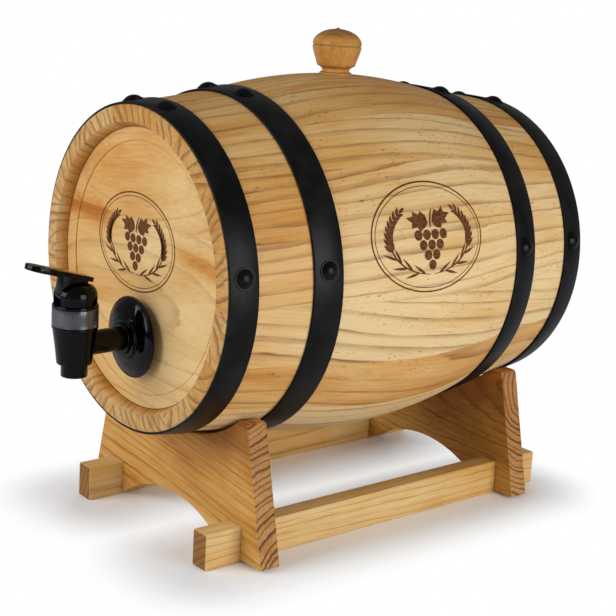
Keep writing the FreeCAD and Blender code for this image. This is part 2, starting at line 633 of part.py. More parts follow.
def tap_body():
    """Body with chamber, valve seat, spout and shank, in one moulding."""
    round_middle = BODY_FOOT_ROUND * (1 - math.sqrt(0.5))
    shoulder = BODY_FOOT - BODY_FOOT_ROUND
    edges = [
        line(tap_point(0, SPOUT_BOTTOM), tap_point(SPOUT_RADIUS - SPOUT_CHAMFER, SPOUT_BOTTOM)),
        line(
            tap_point(SPOUT_RADIUS - SPOUT_CHAMFER, SPOUT_BOTTOM),
            tap_point(SPOUT_RADIUS, SPOUT_BOTTOM + SPOUT_CHAMFER),
        ),
        line(tap_point(SPOUT_RADIUS, SPOUT_BOTTOM + SPOUT_CHAMFER), tap_point(SPOUT_RADIUS, shoulder)),
        line(tap_point(SPOUT_RADIUS, shoulder), tap_point(BODY_FOOT_RADIUS - BODY_FOOT_ROUND, shoulder)),
        arc(
            tap_point(BODY_FOOT_RADIUS - BODY_FOOT_ROUND, shoulder),
            tap_point(BODY_FOOT_RADIUS - round_middle, shoulder + round_middle),
            tap_point(BODY_FOOT_RADIUS, BODY_FOOT),
        ),
        line(tap_point(BODY_FOOT_RADIUS, BODY_FOOT), tap_point(BODY_TOP_RADIUS, BAND_BOTTOM)),
        line(tap_point(BODY_TOP_RADIUS, BAND_BOTTOM), tap_point(NECK_RADIUS, BAND_BOTTOM)),
        line(
            tap_point(NECK_RADIUS, BAND_BOTTOM),
            tap_point(NECK_RADIUS, BONNET_PLATE_BOTTOM - NECK_CLEARANCE),
        ),
        line(
            tap_point(NECK_RADIUS, BONNET_PLATE_BOTTOM - NECK_CLEARANCE),
            tap_point(0, BONNET_PLATE_BOTTOM - NECK_CLEARANCE),
        ),
        line(tap_point(0, BONNET_PLATE_BOTTOM - NECK_CLEARANCE), tap_point(0, SPOUT_BOTTOM)),
    ]
    body = turned(face_of(edges), tap_base(0), UP)
    shank = cylinder(SHANK_RADIUS, tap_base(0), ALONG, SHANK_END - TAP_PLACE)
    collar_place = -(HEAD_FACE + OUTER_GASKET_THICKNESS + ROSETTE_THICKNESS + COLLAR_THICKNESS)
    collar = cylinder(COLLAR_RADIUS, Vector(0, collar_place, SHANK_HEIGHT), ALONG, COLLAR_THICKNESS)
    chamber = cylinder(CHAMBER_RADIUS, tap_base(CHAMBER_FLOOR), UP, BONNET_PLATE_BOTTOM - CHAMBER_FLOOR)
    spout_bore = cylinder(SPOUT_BORE_RADIUS, tap_base(SPOUT_BOTTOM), UP, CHAMBER_FLOOR - SPOUT_BOTTOM)
    shank_bore = cylinder(SHANK_BORE_RADIUS, tap_base(0), ALONG, SHANK_END - TAP_PLACE)
    body = body.fuse([shank, collar]).removeSplitter()
    return body.cut(Part.Compound([chamber.fuse(spout_bore), shank_bore]))


def lever_pin_hole(radius, low, high):
    """Straight hole or pin along X on the lever's turning axis."""
    base = Vector(low, LEVER_PIN_PLACE, LEVER_PIN_HEIGHT)
    return cylinder(radius, base, ACROSS, high - low)


def cheek_reach():
    """How far the bonnet's domed cheeks reach along X at the lever pin."""
    return math.sqrt(DOME_RADIUS ** 2 - LEVER_PIN_FORWARD ** 2)


def tap_bonnet():
    """Screw-on bonnet: ring, plate with the stem's guide hole, and two domed cheeks."""
    ring = cylinder(BAND_RADIUS, tap_base(BAND_BOTTOM), UP, BAND_TOP - BAND_BOTTOM)
    rims = [edge for edge in ring.Edges if isinstance(edge.Curve, Part.Circle)]
    ring = ring.makeChamfer(BAND_CHAMFER, rims)
    dome = cylinder(DOME_RADIUS, tap_base(BAND_TOP), UP, DOME_HEIGHT)
    top = max(dome.Edges, key=lambda edge: edge.BoundBox.ZMin)
    dome = dome.makeFillet(DOME_ROUND, [top])
    bonnet = ring.fuse(dome)
    socket_depth = BONNET_PLATE_BOTTOM - BAND_BOTTOM
    socket = cylinder(NECK_RADIUS + NECK_CLEARANCE, tap_base(BAND_BOTTOM), UP, socket_depth)
    guide = cylinder(
        STEM_RADIUS + STEM_GUIDE_CLEARANCE, tap_base(BONNET_PLATE_BOTTOM), UP, BONNET_PLATE_THICKNESS
    )
    slot = across_box(
        LEVER_SLOT_WIDTH / 2,
        TAP_PLACE - BAND_RADIUS,
        TAP_PLACE + BAND_RADIUS,
        SHANK_HEIGHT + BAND_TOP,
        SHANK_HEIGHT + BAND_TOP + DOME_HEIGHT,
    )
    pin_hole = lever_pin_hole(
        LEVER_PIN_RADIUS + LEVER_PIN_FIT, -DOME_RADIUS, cheek_reach() - LEVER_PIN_WALL
    )
    return bonnet.cut(Part.Compound([socket, guide])).cut(slot).cut(pin_hole)


def lever_pin():
    """Pin that the lever turns on, held in both cheeks."""
    reach = cheek_reach() - LEVER_PIN_WALL - LEVER_PIN_FIT
    return lever_pin_hole(LEVER_PIN_RADIUS, -reach, reach)


def lever_point(forward, height, across=0.0):
    """Point of the lever before it is tilted: forward of the pin and above it."""
    return Vector(across, LEVER_PIN_PLACE - forward, LEVER_PIN_HEIGHT + height)


def lever_box(half_width, rear, front, low, high):
    """Box of the untilted lever, centred on X = 0; rear and front are forward of the pin."""
    start = lever_point(front, low, -half_width)
    return box(start, lever_point(rear, high, half_width))


def lever_pad():
    """Round-nosed thumb pad at the front of the lever."""
    half = LEVER_PAD_WIDTH / 2
    rear = LEVER_FRONT - LEVER_PAD_LENGTH
    centre = LEVER_FRONT - half
    top = LEVER_PLATE_HEIGHT + LEVER_PLATE_THICKNESS
    low = top - LEVER_PAD_THICKNESS
    edges = [
        line(lever_point(rear, low, -half), lever_point(centre, low, -half)),
        arc(
            lever_point(centre, low, -half),
            lever_point(LEVER_FRONT, low, 0),
            lever_point(centre, low, half),
        ),
        line(lever_point(centre, low, half), lever_point(rear, low, half)),
        line(lever_point(rear, low, half), lever_point(rear, low, -half)),
    ]
    pad = face_of(edges).extrude(Vector(0, 0, LEVER_PAD_THICKNESS))
    return pad.makeFillet(LEVER_EDGE_ROUND, pad.Edges)


def lever_webs():
    """Block over the hub and the two webs that carry the link pin behind it."""
    eye = LINK_PIN_RADIUS + LINK_PIN_WALL
    under = LEVER_PLATE_HEIGHT
    outline = [
        lever_point(LEVER_BLOCK_FRONT, under, -LEVER_HALF_WIDTH),
        lever_point(LEVER_HUB_RADIUS, 0, -LEVER_HALF_WIDTH),
        lever_point(-LEVER_BLOCK_REAR, -LEVER_HUB_RADIUS / 2, -LEVER_HALF_WIDTH),
        lever_point(-LINK_ARM, -eye, -LEVER_HALF_WIDTH),
        lever_point(-LINK_ARM - eye, 0, -LEVER_HALF_WIDTH),
        lever_point(-LEVER_WEB_TOP_REAR, under, -LEVER_HALF_WIDTH),
    ]
    width = Vector(2 * LEVER_HALF_WIDTH, 0, 0)
    plate = polygon_face(outline).extrude(width)
    hub = cylinder(LEVER_HUB_RADIUS, lever_point(0, 0, -LEVER_HALF_WIDTH), ACROSS, width.x)
    gap = lever_box(
        LEVER_HALF_WIDTH - LEVER_WEB_THICKNESS,
        -LEVER_WEB_TOP_REAR - eye,
        -LEVER_BLOCK_REAR - LEVER_PIN_RADIUS,
        -LEVER_HUB_RADIUS - eye,
        under - LEVER_EDGE_ROUND,
    )
    return plate.fuse(hub).cut(gap)


def tap_lever():
    """Lever with plate, thumb pad, block and link webs, tilted to its place at rest."""
    under = LEVER_PLATE_HEIGHT
    plate = lever_box(
        LEVER_PLATE_WIDTH / 2,
        -LEVER_REAR,
        LEVER_FRONT - LEVER_PAD_WIDTH / 2,
        under,
        under + LEVER_PLATE_THICKNESS,
    )
    lever = plate.fuse([lever_pad(), lever_webs()])
    hinge = lever_pin_hole(
        LEVER_PIN_RADIUS + LEVER_PIN_RUNNING_CLEARANCE, -LEVER_HALF_WIDTH, LEVER_HALF_WIDTH
    )
    link = cylinder(
        LINK_PIN_RADIUS + LINK_PIN_FIT,
        lever_point(-LINK_ARM, 0, -LEVER_HALF_WIDTH),
        ACROSS,
        2 * LEVER_HALF_WIDTH,
    )
    lever = lever.cut(Part.Compound([hinge, link]))
    lever.rotate(lever_point(0, 0), ACROSS, -LEVER_REST_ANGLE)
    return lever


def link_pin():
    """Pin through the lever's webs and the eye of the stem."""
    base = Vector(-LEVER_HALF_WIDTH, TAP_PLACE, LEVER_PIN_HEIGHT - LINK_PIN_DROP)
    return cylinder(LINK_PIN_RADIUS, base, ACROSS, 2 * LEVER_HALF_WIDTH)


def stem_collar_top():
    """Height of the stem collar's upper face above the shank axis."""
    return BONNET_PLATE_BOTTOM - SPRING_LENGTH


def seat_cup_top():
    """Height of the seat cup's upper face above the shank axis."""
    return CHAMBER_FLOOR + SEAT_GAP + SEAT_CUP_HEIGHT


def tap_stem():
    """Stem with its eye blade above the bonnet plate and its spring collar below."""
    foot = seat_cup_top() - SEAT_CUP_SOCKET_DEPTH
    blade_foot = BAND_TOP + STEM_BLADE_LIFT
    rod = cylinder(STEM_RADIUS, tap_base(foot), UP, blade_foot - foot)
    collar_foot = stem_collar_top() - STEM_COLLAR_THICKNESS
    collar = cylinder(STEM_COLLAR_RADIUS, tap_base(collar_foot), UP, STEM_COLLAR_THICKNESS)
    eye_height = LEVER_PIN_HEIGHT - LINK_PIN_DROP
    eye_half_height = LINK_PIN_RADIUS + STEM_EYE_CLEARANCE
    blade = across_box(
        LEVER_HALF_WIDTH - LEVER_WEB_THICKNESS - STEM_BLADE_CLEARANCE,
        TAP_PLACE - STEM_BLADE_WIDTH / 2,
        TAP_PLACE + STEM_BLADE_WIDTH / 2,
        SHANK_HEIGHT + blade_foot,
        eye_height + eye_half_height + STEM_EYE_WALL,
    )
    eye = across_box(
        LEVER_HALF_WIDTH,
        TAP_PLACE - LINK_PIN_RADIUS - STEM_EYE_SIDE_PLAY,
        TAP_PLACE + LINK_PIN_RADIUS + STEM_EYE_SIDE_PLAY,
        eye_height - eye_half_height,
        eye_height + eye_half_height,
    )
    return rod.fuse([collar, blade]).removeSplitter().cut(eye)


def seat_cup():
    """Silicone cup on the stem's foot that shuts the spout."""
    height = CHAMBER_FLOOR + SEAT_GAP
    cup = Part.makeCone(SEAT_CUP_FOOT_RADIUS, SEAT_CUP_RADIUS, SEAT_CUP_HEIGHT, tap_base(height), UP)
    socket_foot = seat_cup_top() - SEAT_CUP_SOCKET_DEPTH
    socket = cylinder(
        STEM_RADIUS + SEAT_CUP_SOCKET_CLEARANCE, tap_base(socket_foot), UP, SEAT_CUP_SOCKET_DEPTH
    )
    return cup.cut(socket)


def tap_spring():
    """Coil spring between the stem collar and the bonnet plate."""
    ends = SPRING_WIRE_RADIUS + SPRING_END_GAP
    height = SPRING_LENGTH - 2 * ends
    helix = Part.makeHelix(height / SPRING_TURNS, height, SPRING_COIL_RADIUS)
    centre = Vector(SPRING_COIL_RADIUS, 0, 0)
    wire_circle = Part.Wire(Part.makeCircle(SPRING_WIRE_RADIUS, centre, ALONG))
    spring = helix.makePipeShell([wire_circle], True, True)
    spring.translate(tap_base(stem_collar_top() + ends))
    return spring


def rosette_point(radius, distance):
    """Point above the shank axis, at a distance in front of the rosette's flat back."""
    place = -(HEAD_FACE + OUTER_GASKET_THICKNESS + distance)
    return Vector(0, place, SHANK_HEIGHT + radius)


def tap_rosette():
    """Thin-rimmed domed plate around the shank, clamped between the gasket and the collar."""
    bore = SHANK_RADIUS + SHANK_FIT_CLEARANCE
    boss_flat = ROSETTE_BOSS_RADIUS - ROSETTE_BOSS_CHAMFER
    boss_side = ROSETTE_THICKNESS - ROSETTE_BOSS_CHAMFER
    dome_radius = (ROSETTE_RADIUS + ROSETTE_BOSS_RADIUS) / 2 + ROSETTE_DOME_SAG
    dome_height = (ROSETTE_RIM_THICKNESS + ROSETTE_BOSS_FOOT) / 2 + ROSETTE_DOME_SAG
    edges = [
        line(rosette_point(bore, 0), rosette_point(ROSETTE_RADIUS, 0)),
        line(rosette_point(ROSETTE_RADIUS, 0), rosette_point(ROSETTE_RADIUS, ROSETTE_RIM_THICKNESS)),
        arc(
            rosette_point(ROSETTE_RADIUS, ROSETTE_RIM_THICKNESS),
            rosette_point(dome_radius, dome_height),
            rosette_point(ROSETTE_BOSS_RADIUS, ROSETTE_BOSS_FOOT),
        ),
        line(
            rosette_point(ROSETTE_BOSS_RADIUS, ROSETTE_BOSS_FOOT),
            rosette_point(ROSETTE_BOSS_RADIUS, boss_side),
        ),
        line(
            rosette_point(ROSETTE_BOSS_RADIUS, boss_side),
            rosette_point(boss_flat, ROSETTE_THICKNESS),
        ),
        line(rosette_point(boss_flat, ROSETTE_THICKNESS), rosette_point(bore, ROSETTE_THICKNESS)),
        line(rosette_point(bore, ROSETTE_THICKNESS), rosette_point(bore, 0)),
    ]
    return turned(face_of(edges), rosette_point(0, 0), ALONG)


def washer(radius, start, thickness):
    """Flat ring on the shank; start is its front face along Y."""
    base = Vector(0, start, SHANK_HEIGHT)
    ring = cylinder(radius, base, ALONG, thickness)
    bore = cylinder(SHANK_RADIUS + SHANK_FIT_CLEARANCE, base, ALONG, thickness)
    return ring.cut(bore)


def lock_nut():
    """Hexagonal nut that draws the tap against the head from inside."""
    start = -HEAD_BACK + INNER_GASKET_THICKNESS
    corner = LOCK_NUT_ACROSS_FLATS / 2 / math.cos(math.radians(30))
    corners = []
    for number in range(6):
        angle = math.radians(60 * number)
        across = corner * math.cos(angle)
        corners.append(Vector(across, start, SHANK_HEIGHT + corner * math.sin(angle)))
    nut = polygon_face(corners).extrude(Vector(0, LOCK_NUT_THICKNESS, 0))
    base = Vector(0, start, SHANK_HEIGHT)
    return nut.cut(cylinder(SHANK_RADIUS + SHANK_FIT_CLEARANCE, base, ALONG, LOCK_NUT_THICKNESS))


def make_tap():
    """All pieces of the tap, by node name."""
    outer_gasket_start = -HEAD_FACE - OUTER_GASKET_THICKNESS
    return {
        "tap_body": tap_body(),
        "tap_bonnet": tap_bonnet(),
        "tap_lever": tap_lever(),
        "tap_lever_pin": lever_pin(),
        "tap_link_pin": link_pin(),
        "tap_stem": tap_stem(),
        "tap_seat_cup": seat_cup(),
        "tap_spring": tap_spring(),
        "tap_rosette": tap_rosette(),
        "tap_outer_gasket": washer(OUTER_GASKET_RADIUS, outer_gasket_start, OUTER_GASKET_THICKNESS),
        "tap_inner_gasket": washer(INNER_GASKET_RADIUS, -HEAD_BACK, INNER_GASKET_THICKNESS),
        "tap_lock_nut": lock_nut(),
    }


# --- Stand ------------------------------------------------------------------------------
def saddle_radius(place):
    """Radius of a saddle whose wide side lies at a place along the cask."""
    return outer_radius(place) + SADDLE_CLEARANCE


def ear_drop():
    """Ear tops below the cask axis, the same on both boards."""
    narrow = min(saddle_radius(FRONT_BOARD_INNER), saddle_radius(REAR_BOARD_INNER))
    return narrow * math.cos(math.radians(EAR_ANGLE))


def cradle(radius, low_y, notch_cutter):
    """Cradle board with its saddle, foot arch and rail notches; low_y is its front face."""
    top = CASK_AXIS_HEIGHT - ear_drop()
    ear_inner = math.sqrt(radius ** 2 - ear_drop() ** 2)
    ear_outer = ear_inner + EAR_WIDTH
    foot = ear_outer + FOOT_FLARE
    blank_outline = [
        Vector(-foot, low_y, FOOT_LIFT),
        Vector(foot, low_y, FOOT_LIFT),
        Vector(ear_outer, low_y, top),
        Vector(-ear_outer, low_y, top),
    ]
    board = polygon_face(blank_outline).extrude(Vector(0, BOARD_THICKNESS, 0))
    board = rounded_corners(board, top, EAR_ROUND)
    board = rounded_corners(board, FOOT_LIFT, FOOT_ROUND)
    saddle = cylinder(radius, Vector(0, low_y, CASK_AXIS_HEIGHT), ALONG, BOARD_THICKNESS)
    arch_radius = (ARCH_HALF_WIDTH ** 2 + ARCH_RISE ** 2) / (2 * ARCH_RISE)
    arch_centre = Vector(0, low_y, FOOT_LIFT + ARCH_RISE - arch_radius)
    arch = cylinder(arch_radius, arch_centre, ALONG, BOARD_THICKNESS)
    board = board.cut(saddle.fuse(arch))
    faces = (low_y, low_y + BOARD_THICKNESS)
    board = board.makeFillet(BOARD_EDGE_ROUND, [e for e in board.Edges if lies_in(e, faces)])
    return board.cut(notch_cutter)


def lies_in(edge, places):
    """Whether a whole edge lies in one of the planes Y = place."""
    box_of_edge = edge.BoundBox
    return any(
        abs(box_of_edge.YMin - place) < 1e-4 and abs(box_of_edge.YMax - place) < 1e-4
        for place in places
    )


def rounded_corners(board, height, radius):
    """Round the edges along Y that lie at a height."""
    corners = []
    for edge in board.Edges:
        bound = edge.BoundBox
        at_height = abs(bound.ZMin - height) < 1e-4 and abs(bound.ZMax - height) < 1e-4
        if at_height and bound.YLength > BOARD_THICKNESS / 2:
            corners.append(edge)
    return board.makeFillet(radius, corners)


def rail_block(side, clearance, height):
    """Plain block in the place of one rail."""
    centre = side * RAIL_PLACE
    half = RAIL_THICKNESS / 2 + clearance
    low = Vector(centre - half, FRONT_BOARD_OUTER - RAIL_OVERHANG, 0)
    high = Vector(centre + half, REAR_BOARD_OUTER + RAIL_OVERHANG, height)
    return box(low, high)


def screw_places():
    """Where the rails and the boards cross."""
    front = (FRONT_BOARD_INNER + FRONT_BOARD_OUTER) / 2
    rear = (REAR_BOARD_INNER + REAR_BOARD_OUTER) / 2
    return [(side * RAIL_PLACE, place) for side in (-1, 1) for place in (front, rear)]


def screw(clearance):
    """Countersunk screw on the Z axis, standing on its head, grown by a clearance."""
    radius = SCREW_RADIUS + clearance
    head_radius = SCREW_HEAD_RADIUS + clearance
    head_height = SCREW_HEAD_RADIUS - SCREW_RADIUS
    shank = cylinder(radius, Vector(0, 0, 0), UP, SCREW_LENGTH + clearance)
    head = Part.makeCone(head_radius, radius, head_height, Vector(0, 0, 0), UP)
    return shank.fuse(head)


def placed_screws(shape, height):
    """Copies of a shape at all four screw places."""
    copies = []
    for across, place in screw_places():
        copy = shape.copy()
        copy.translate(Vector(across, place, height))
        copies.append(copy)
    return copies


def rail(side, screw_cutter):
    """One rail along the whole stand, resting on the table."""
    blank = rail_block(side, 0.0, RAIL_HEIGHT)
    return blank.makeFillet(RAIL_EDGE_ROUND, blank.Edges).cut(screw_cutter)


def make_stand():
    """All pieces of the stand, by node name."""
    holes = placed_screws(screw(SCREW_CLEARANCE), SCREW_HEAD_DEPTH)
    recesses = placed_screws(
        cylinder(SCREW_HEAD_RADIUS + SCREW_CLEARANCE, Vector(0, 0, 0), UP, SCREW_HEAD_DEPTH), 0
    )
    screw_cutter = Part.Compound([hole.fuse(recess) for hole, recess in zip(holes, recesses)])
    notches = [rail_block(side, NOTCH_CLEARANCE, RAIL_HEIGHT) for side in (-1, 1)]
    notch_cutter = Part.Compound(notches)
    front_radius = saddle_radius(FRONT_BOARD_INNER)
    rear_radius = saddle_radius(REAR_BOARD_INNER)
    return {
        "front_cradle": cradle(front_radius, FRONT_BOARD_OUTER, notch_cutter).cut(screw_cutter),
        "rear_cradle": cradle(rear_radius, REAR_BOARD_INNER, notch_cutter).cut(screw_cutter),
        "left_rail": rail(-1, screw_cutter),
        "right_rail": rail(1, screw_cutter),
        "stand_screws": Part.Compound(placed_screws(screw(0.0), SCREW_HEAD_DEPTH)),
    }


# --- Output -----------------------------------------------------------------------------
def write_parts(nodes):
    """Move every node so that the origin is under the middle of the object, and write it."""
    os.makedirs("parts", exist_ok=True)
    front = min(shape.optimalBoundingBox().YMin for shape in nodes.values())
    rear = max(shape.optimalBoundingBox().YMax for shape in nodes.values())
    shift = -(front + rear) / 2
    for name, shape in nodes.items():
        moved = shape.copy()
        moved.translate(Vector(0, shift, 0))
        moved.exportStep("parts/%s.step" % name)
    print("moved along Y by %.4f mm" % shift)
    print("lever pin at Y %.4f, Z %.4f" % (LEVER_PIN_PLACE + shift, LEVER_PIN_HEIGHT))


def main():
    """Build all nodes and write them."""
    hoops, pilots = make_hoops()
    nodes = {}
    nodes.update(make_stand())
    nodes.update(make_staves(pilots))
    nodes.update(make_heads())
    nodes.update(hoops)
    nodes.update(make_bung())
    nodes.update(make_tap())
    write_parts(nodes)


main()
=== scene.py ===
"""Looks of a table-top wooden cask with a lever tap, lying in its two-cradle stand.

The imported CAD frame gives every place.  Lengths are in millimetres in this file and become metres
when a mesh is made.  +Y runs along the cask from the tap end to the rear end and +Z is up.
"""
import logging
import math
import random
from dataclasses import dataclass
from enum import Enum
from typing import Callable, Sequence

import bmesh
import bpy
from mathutils import Matrix, Vector


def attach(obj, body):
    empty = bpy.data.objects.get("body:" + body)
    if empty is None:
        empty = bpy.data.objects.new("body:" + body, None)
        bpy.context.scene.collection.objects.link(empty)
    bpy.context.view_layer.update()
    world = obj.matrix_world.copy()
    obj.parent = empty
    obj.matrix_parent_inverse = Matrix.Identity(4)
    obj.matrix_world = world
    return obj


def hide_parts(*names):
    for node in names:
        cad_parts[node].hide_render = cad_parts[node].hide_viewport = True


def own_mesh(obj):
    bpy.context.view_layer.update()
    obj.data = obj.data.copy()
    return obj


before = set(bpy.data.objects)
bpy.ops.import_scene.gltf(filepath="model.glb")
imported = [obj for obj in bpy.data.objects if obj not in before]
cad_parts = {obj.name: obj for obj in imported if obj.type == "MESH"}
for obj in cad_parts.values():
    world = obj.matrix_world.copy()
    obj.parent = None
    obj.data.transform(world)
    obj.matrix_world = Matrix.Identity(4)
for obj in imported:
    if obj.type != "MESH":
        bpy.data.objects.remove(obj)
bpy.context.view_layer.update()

MM = 0.001
LOG = logging.getLogger("cask")
ACROSS, ALONG, UP = Vector((1, 0, 0)), Vector((0, 1, 0)), Vector((0, 0, 1))
Piece = bpy.types.Object
Socket = bpy.types.NodeSocket
Point = tuple[float, float]
Place = tuple[float, float, float]


# --- Bench: small steps of modelling ------------------------------------------------------
def at(x: float, y: float, z: float) -> Vector:
    """A place in metres from millimetres."""
    return Vector((x, y, z)) * MM


def deselect() -> None:
    """Leave edit mode if need be and select nothing."""
    if bpy.context.object and bpy.context.object.mode != "OBJECT":
        bpy.ops.object.mode_set(mode="OBJECT")
    bpy.ops.object.select_all(action="DESELECT")


def pick(piece: Piece) -> None:
    """Make one piece the only selected and active object."""
    deselect()
    piece.select_set(True)
    bpy.context.view_layer.objects.active = piece


def named(name: str) -> Piece:
    """Name the object that a primitive operator has just added, and apply its place."""
    piece = bpy.context.object
    piece.name = piece.data.name = name
    pick(piece)
    bpy.ops.object.transform_apply(location=True, rotation=True, scale=True)
    return piece


def edit(piece: Piece) -> None:
    """Open a piece in edit mode with all of it selected."""
    pick(piece)
    bpy.ops.object.mode_set(mode="EDIT")
    bpy.ops.mesh.select_mode(type="VERT")
    bpy.ops.mesh.select_all(action="SELECT")


def finish_edit(piece: Piece, merge: float = 0.002) -> Piece:
    """Merge doubles within a distance, turn all normals outwards and leave edit mode."""
    bpy.ops.mesh.select_mode(type="VERT")
    bpy.ops.mesh.select_all(action="SELECT")
    bpy.ops.mesh.remove_doubles(threshold=merge * MM)
    bpy.ops.mesh.normals_make_consistent(inside=False)
    bpy.ops.object.mode_set(mode="OBJECT")
    return piece


def choose_faces(piece: Piece, test: Callable[[Vector], bool]) -> None:
    """Select the faces of a piece in edit mode whose middles, in metres, pass a test."""
    bpy.ops.mesh.select_mode(type="FACE")
    bpy.ops.mesh.select_all(action="DESELECT")
    mesh = bmesh.from_edit_mesh(piece.data)
    for face in mesh.faces:
        if test(face.calc_center_median()):
            face.select_set(True)
    mesh.select_flush_mode()
    bmesh.update_edit_mesh(piece.data)


def outline(name: str, points: Sequence[Vector], closed: bool, filled: bool) -> Piece:
    """Draw an outline by extruding one vertex from point to point.

    Args:
        name: name of the new piece.
        points: the outline's corners in metres.
        closed: whether its ends are joined.
        filled: whether the closed outline gets a face.
    Returns:
        The piece, in edit mode.
    """
    deselect()
    bpy.ops.mesh.primitive_plane_add(size=MM, location=points[0])
    piece = named(name)
    edit(piece)
    bpy.ops.mesh.merge(type="CENTER")
    for start, end in zip(points, points[1:]):
        bpy.ops.mesh.extrude_region_move(TRANSFORM_OT_translate={"value": end - start})
    if closed:
        mesh = bmesh.from_edit_mesh(piece.data)
        for vertex in mesh.verts:
            vertex.select_set(len(vertex.link_edges) == 1)
        mesh.select_flush_mode()
        bmesh.update_edit_mesh(piece.data)
        bpy.ops.mesh.edge_face_add()
    bpy.ops.mesh.select_all(action="SELECT")
    if filled:
        bpy.ops.mesh.edge_face_add()
    return piece


def turned(
    name: str, points: Sequence[Vector], centre: Vector, axis: Vector, steps: int,
    closed: bool = False, angle: float = 360.0,
) -> Piece:
    """Turn an outline about an axis, as on a lathe.

    Args:
        name: name of the new piece.
        points: the outline, in a plane that holds the axis.
        centre: a point on the axis.
        axis: direction of the axis.
        steps: number of steps of the turn.
        closed: whether the outline is a closed ring; otherwise its ends are on the axis.
        angle: the turn in degrees.
    Returns:
        The turned piece, closed, with outward normals.
    """
    piece = outline(name, points, closed, filled=closed and angle < 360.0)
    bpy.ops.mesh.spin(steps=steps, angle=math.radians(angle), center=centre, axis=axis)
    return finish_edit(piece)


def drawn_out(name: str, points: Sequence[Vector], along: Vector) -> Piece:
    """Extrude a closed flat outline along a vector."""
    piece = outline(name, points, closed=True, filled=True)
    bpy.ops.mesh.extrude_region_move(TRANSFORM_OT_translate={"value": along})
    return finish_edit(piece)


def block(name: str, low: Vector, high: Vector) -> Piece:
    """A box between two corners, ready to be shaped."""
    deselect()
    bpy.ops.mesh.primitive_cube_add(size=1.0, location=(low + high) / 2, scale=high - low)
    return named(name)


def rod(name: str, radius: float, start: Vector, end: Vector, sides: int = 48) -> Piece:
    """A cylinder between two points, ready to be shaped; radius in millimetres."""
    deselect()
    along = end - start
    bpy.ops.mesh.primitive_cylinder_add(
        vertices=sides, radius=radius * MM, depth=along.length, location=(start + end) / 2,
        rotation=along.to_track_quat("Z", "Y").to_euler())
    return named(name)


def modified(piece: Piece, kind: str, **settings: object) -> Piece:
    """Add one modifier with its settings and apply it."""
    pick(piece)
    modifier = piece.modifiers.new(kind.lower(), kind)
    for name, value in settings.items():
        setattr(modifier, name, value)
    bpy.ops.object.modifier_apply(modifier=modifier.name)
    return piece


def rounded(piece: Piece, width: float, segments: int = 2, angle: float = 30.0) -> Piece:
    """Round the edges of a piece that are sharper than an angle; width in millimetres."""
    return modified(piece, "BEVEL", width=width * MM, segments=segments,
                    limit_method="ANGLE", angle_limit=math.radians(angle))


def combined(piece: Piece, tool: Piece, operation: str = "DIFFERENCE") -> Piece:
    """Cut a tool out of a piece, or join it with UNION, and throw the tool away."""
    modified(piece, "BOOLEAN", object=tool, operation=operation, solver="EXACT")
    discard(tool)
    return piece


def bored(piece: Piece, radius: float, start: Vector, end: Vector, sides: int = 48) -> Piece:
    """Cut a round hole between two points; radius in millimetres."""
    return combined(piece, rod("bore", radius, start, end, sides))


def discard(*pieces: Piece) -> None:
    """Remove patterns and tools that have done their work."""
    for piece in pieces:
        bpy.data.objects.remove(piece)


def smooth(piece: Piece, angle: float = 35.0) -> Piece:
    """Shade a piece smooth, with edges above an angle kept sharp."""
    pick(piece)
    bpy.ops.object.shade_smooth_by_angle(angle=math.radians(angle))
    return piece


def copy_of(piece: Piece, name: str, move: Matrix) -> Piece:
    """A copy of a piece with its own mesh, moved by a matrix."""
    twin = piece.copy()
    twin.data = piece.data.copy()
    twin.name = twin.data.name = name
    twin.data.transform(move)
    if move.determinant() < 0:
        twin.data.flip_normals()
    bpy.context.scene.collection.objects.link(twin)
    return twin


def joined(pieces: Sequence[Piece], name: str) -> Piece:
    """Join pieces into one object."""
    deselect()
    for piece in pieces:
        piece.select_set(True)
    bpy.context.view_layer.objects.active = pieces[0]
    bpy.ops.object.join()
    pieces[0].name = pieces[0].data.name = name
    return pieces[0]


def turn_about(centre: Vector, axis: Vector, degrees: float) -> Matrix:
    """Matrix that turns about an axis through a point."""
    turn = Matrix.Rotation(math.radians(degrees), 4, axis)
    return Matrix.Translation(centre) @ turn @ Matrix.Translation(-centre)


def arc_points(centre: Point, radius: float, start: float, end: float, count: int) -> list[Point]:
    """Points on a flat arc, both ends included; angles in degrees."""
    turns = [math.radians(start + (end - start) * i / count) for i in range(count + 1)]
    return [(centre[0] + radius * math.cos(a), centre[1] + radius * math.sin(a)) for a in turns]


# --- Materials ----------------------------------------------------------------------------
def colour(value: str) -> tuple[float, float, float, float]:
    """Linear colour of an sRGB hex value such as cd9d5f."""
    channels = [int(value[i:i + 2], 16) / 255 for i in (0, 2, 4)]
    linear = [c / 12.92 if c <= 0.04045 else ((c + 0.055) / 1.055) ** 2.4 for c in channels]
    return (*linear, 1.0)


@dataclass(frozen=True)
class Graph:
    """A node tree that is written value by value."""

    tree: bpy.types.NodeTree

    def add(
        self, kind: str, inputs: Sequence[object] | dict[str, object], out: int | str = 0,
        **settings: object,
    ) -> Socket | None:
        """Add a node with its settings, values and links.

        Args:
            kind: the node's type without its first word.
            inputs: what goes into its inputs, in order or by name: a value, a colour's hex value
                or another node's output.
            out: the output to give back.
            settings: properties of the node.
        Returns:
            That output, or None for a node that has none.
        """
        node = self.tree.nodes.new(f"ShaderNode{kind}")
        for name, value in settings.items():
            setattr(node, name, value)
        for key, value in inputs.items() if isinstance(inputs, dict) else enumerate(inputs):
            if isinstance(value, Socket):
                self.tree.links.new(value, node.inputs[key])
            else:
                node.inputs[key].default_value = colour(value) if isinstance(value, str) else value
        return node.outputs[out] if len(node.outputs) else None


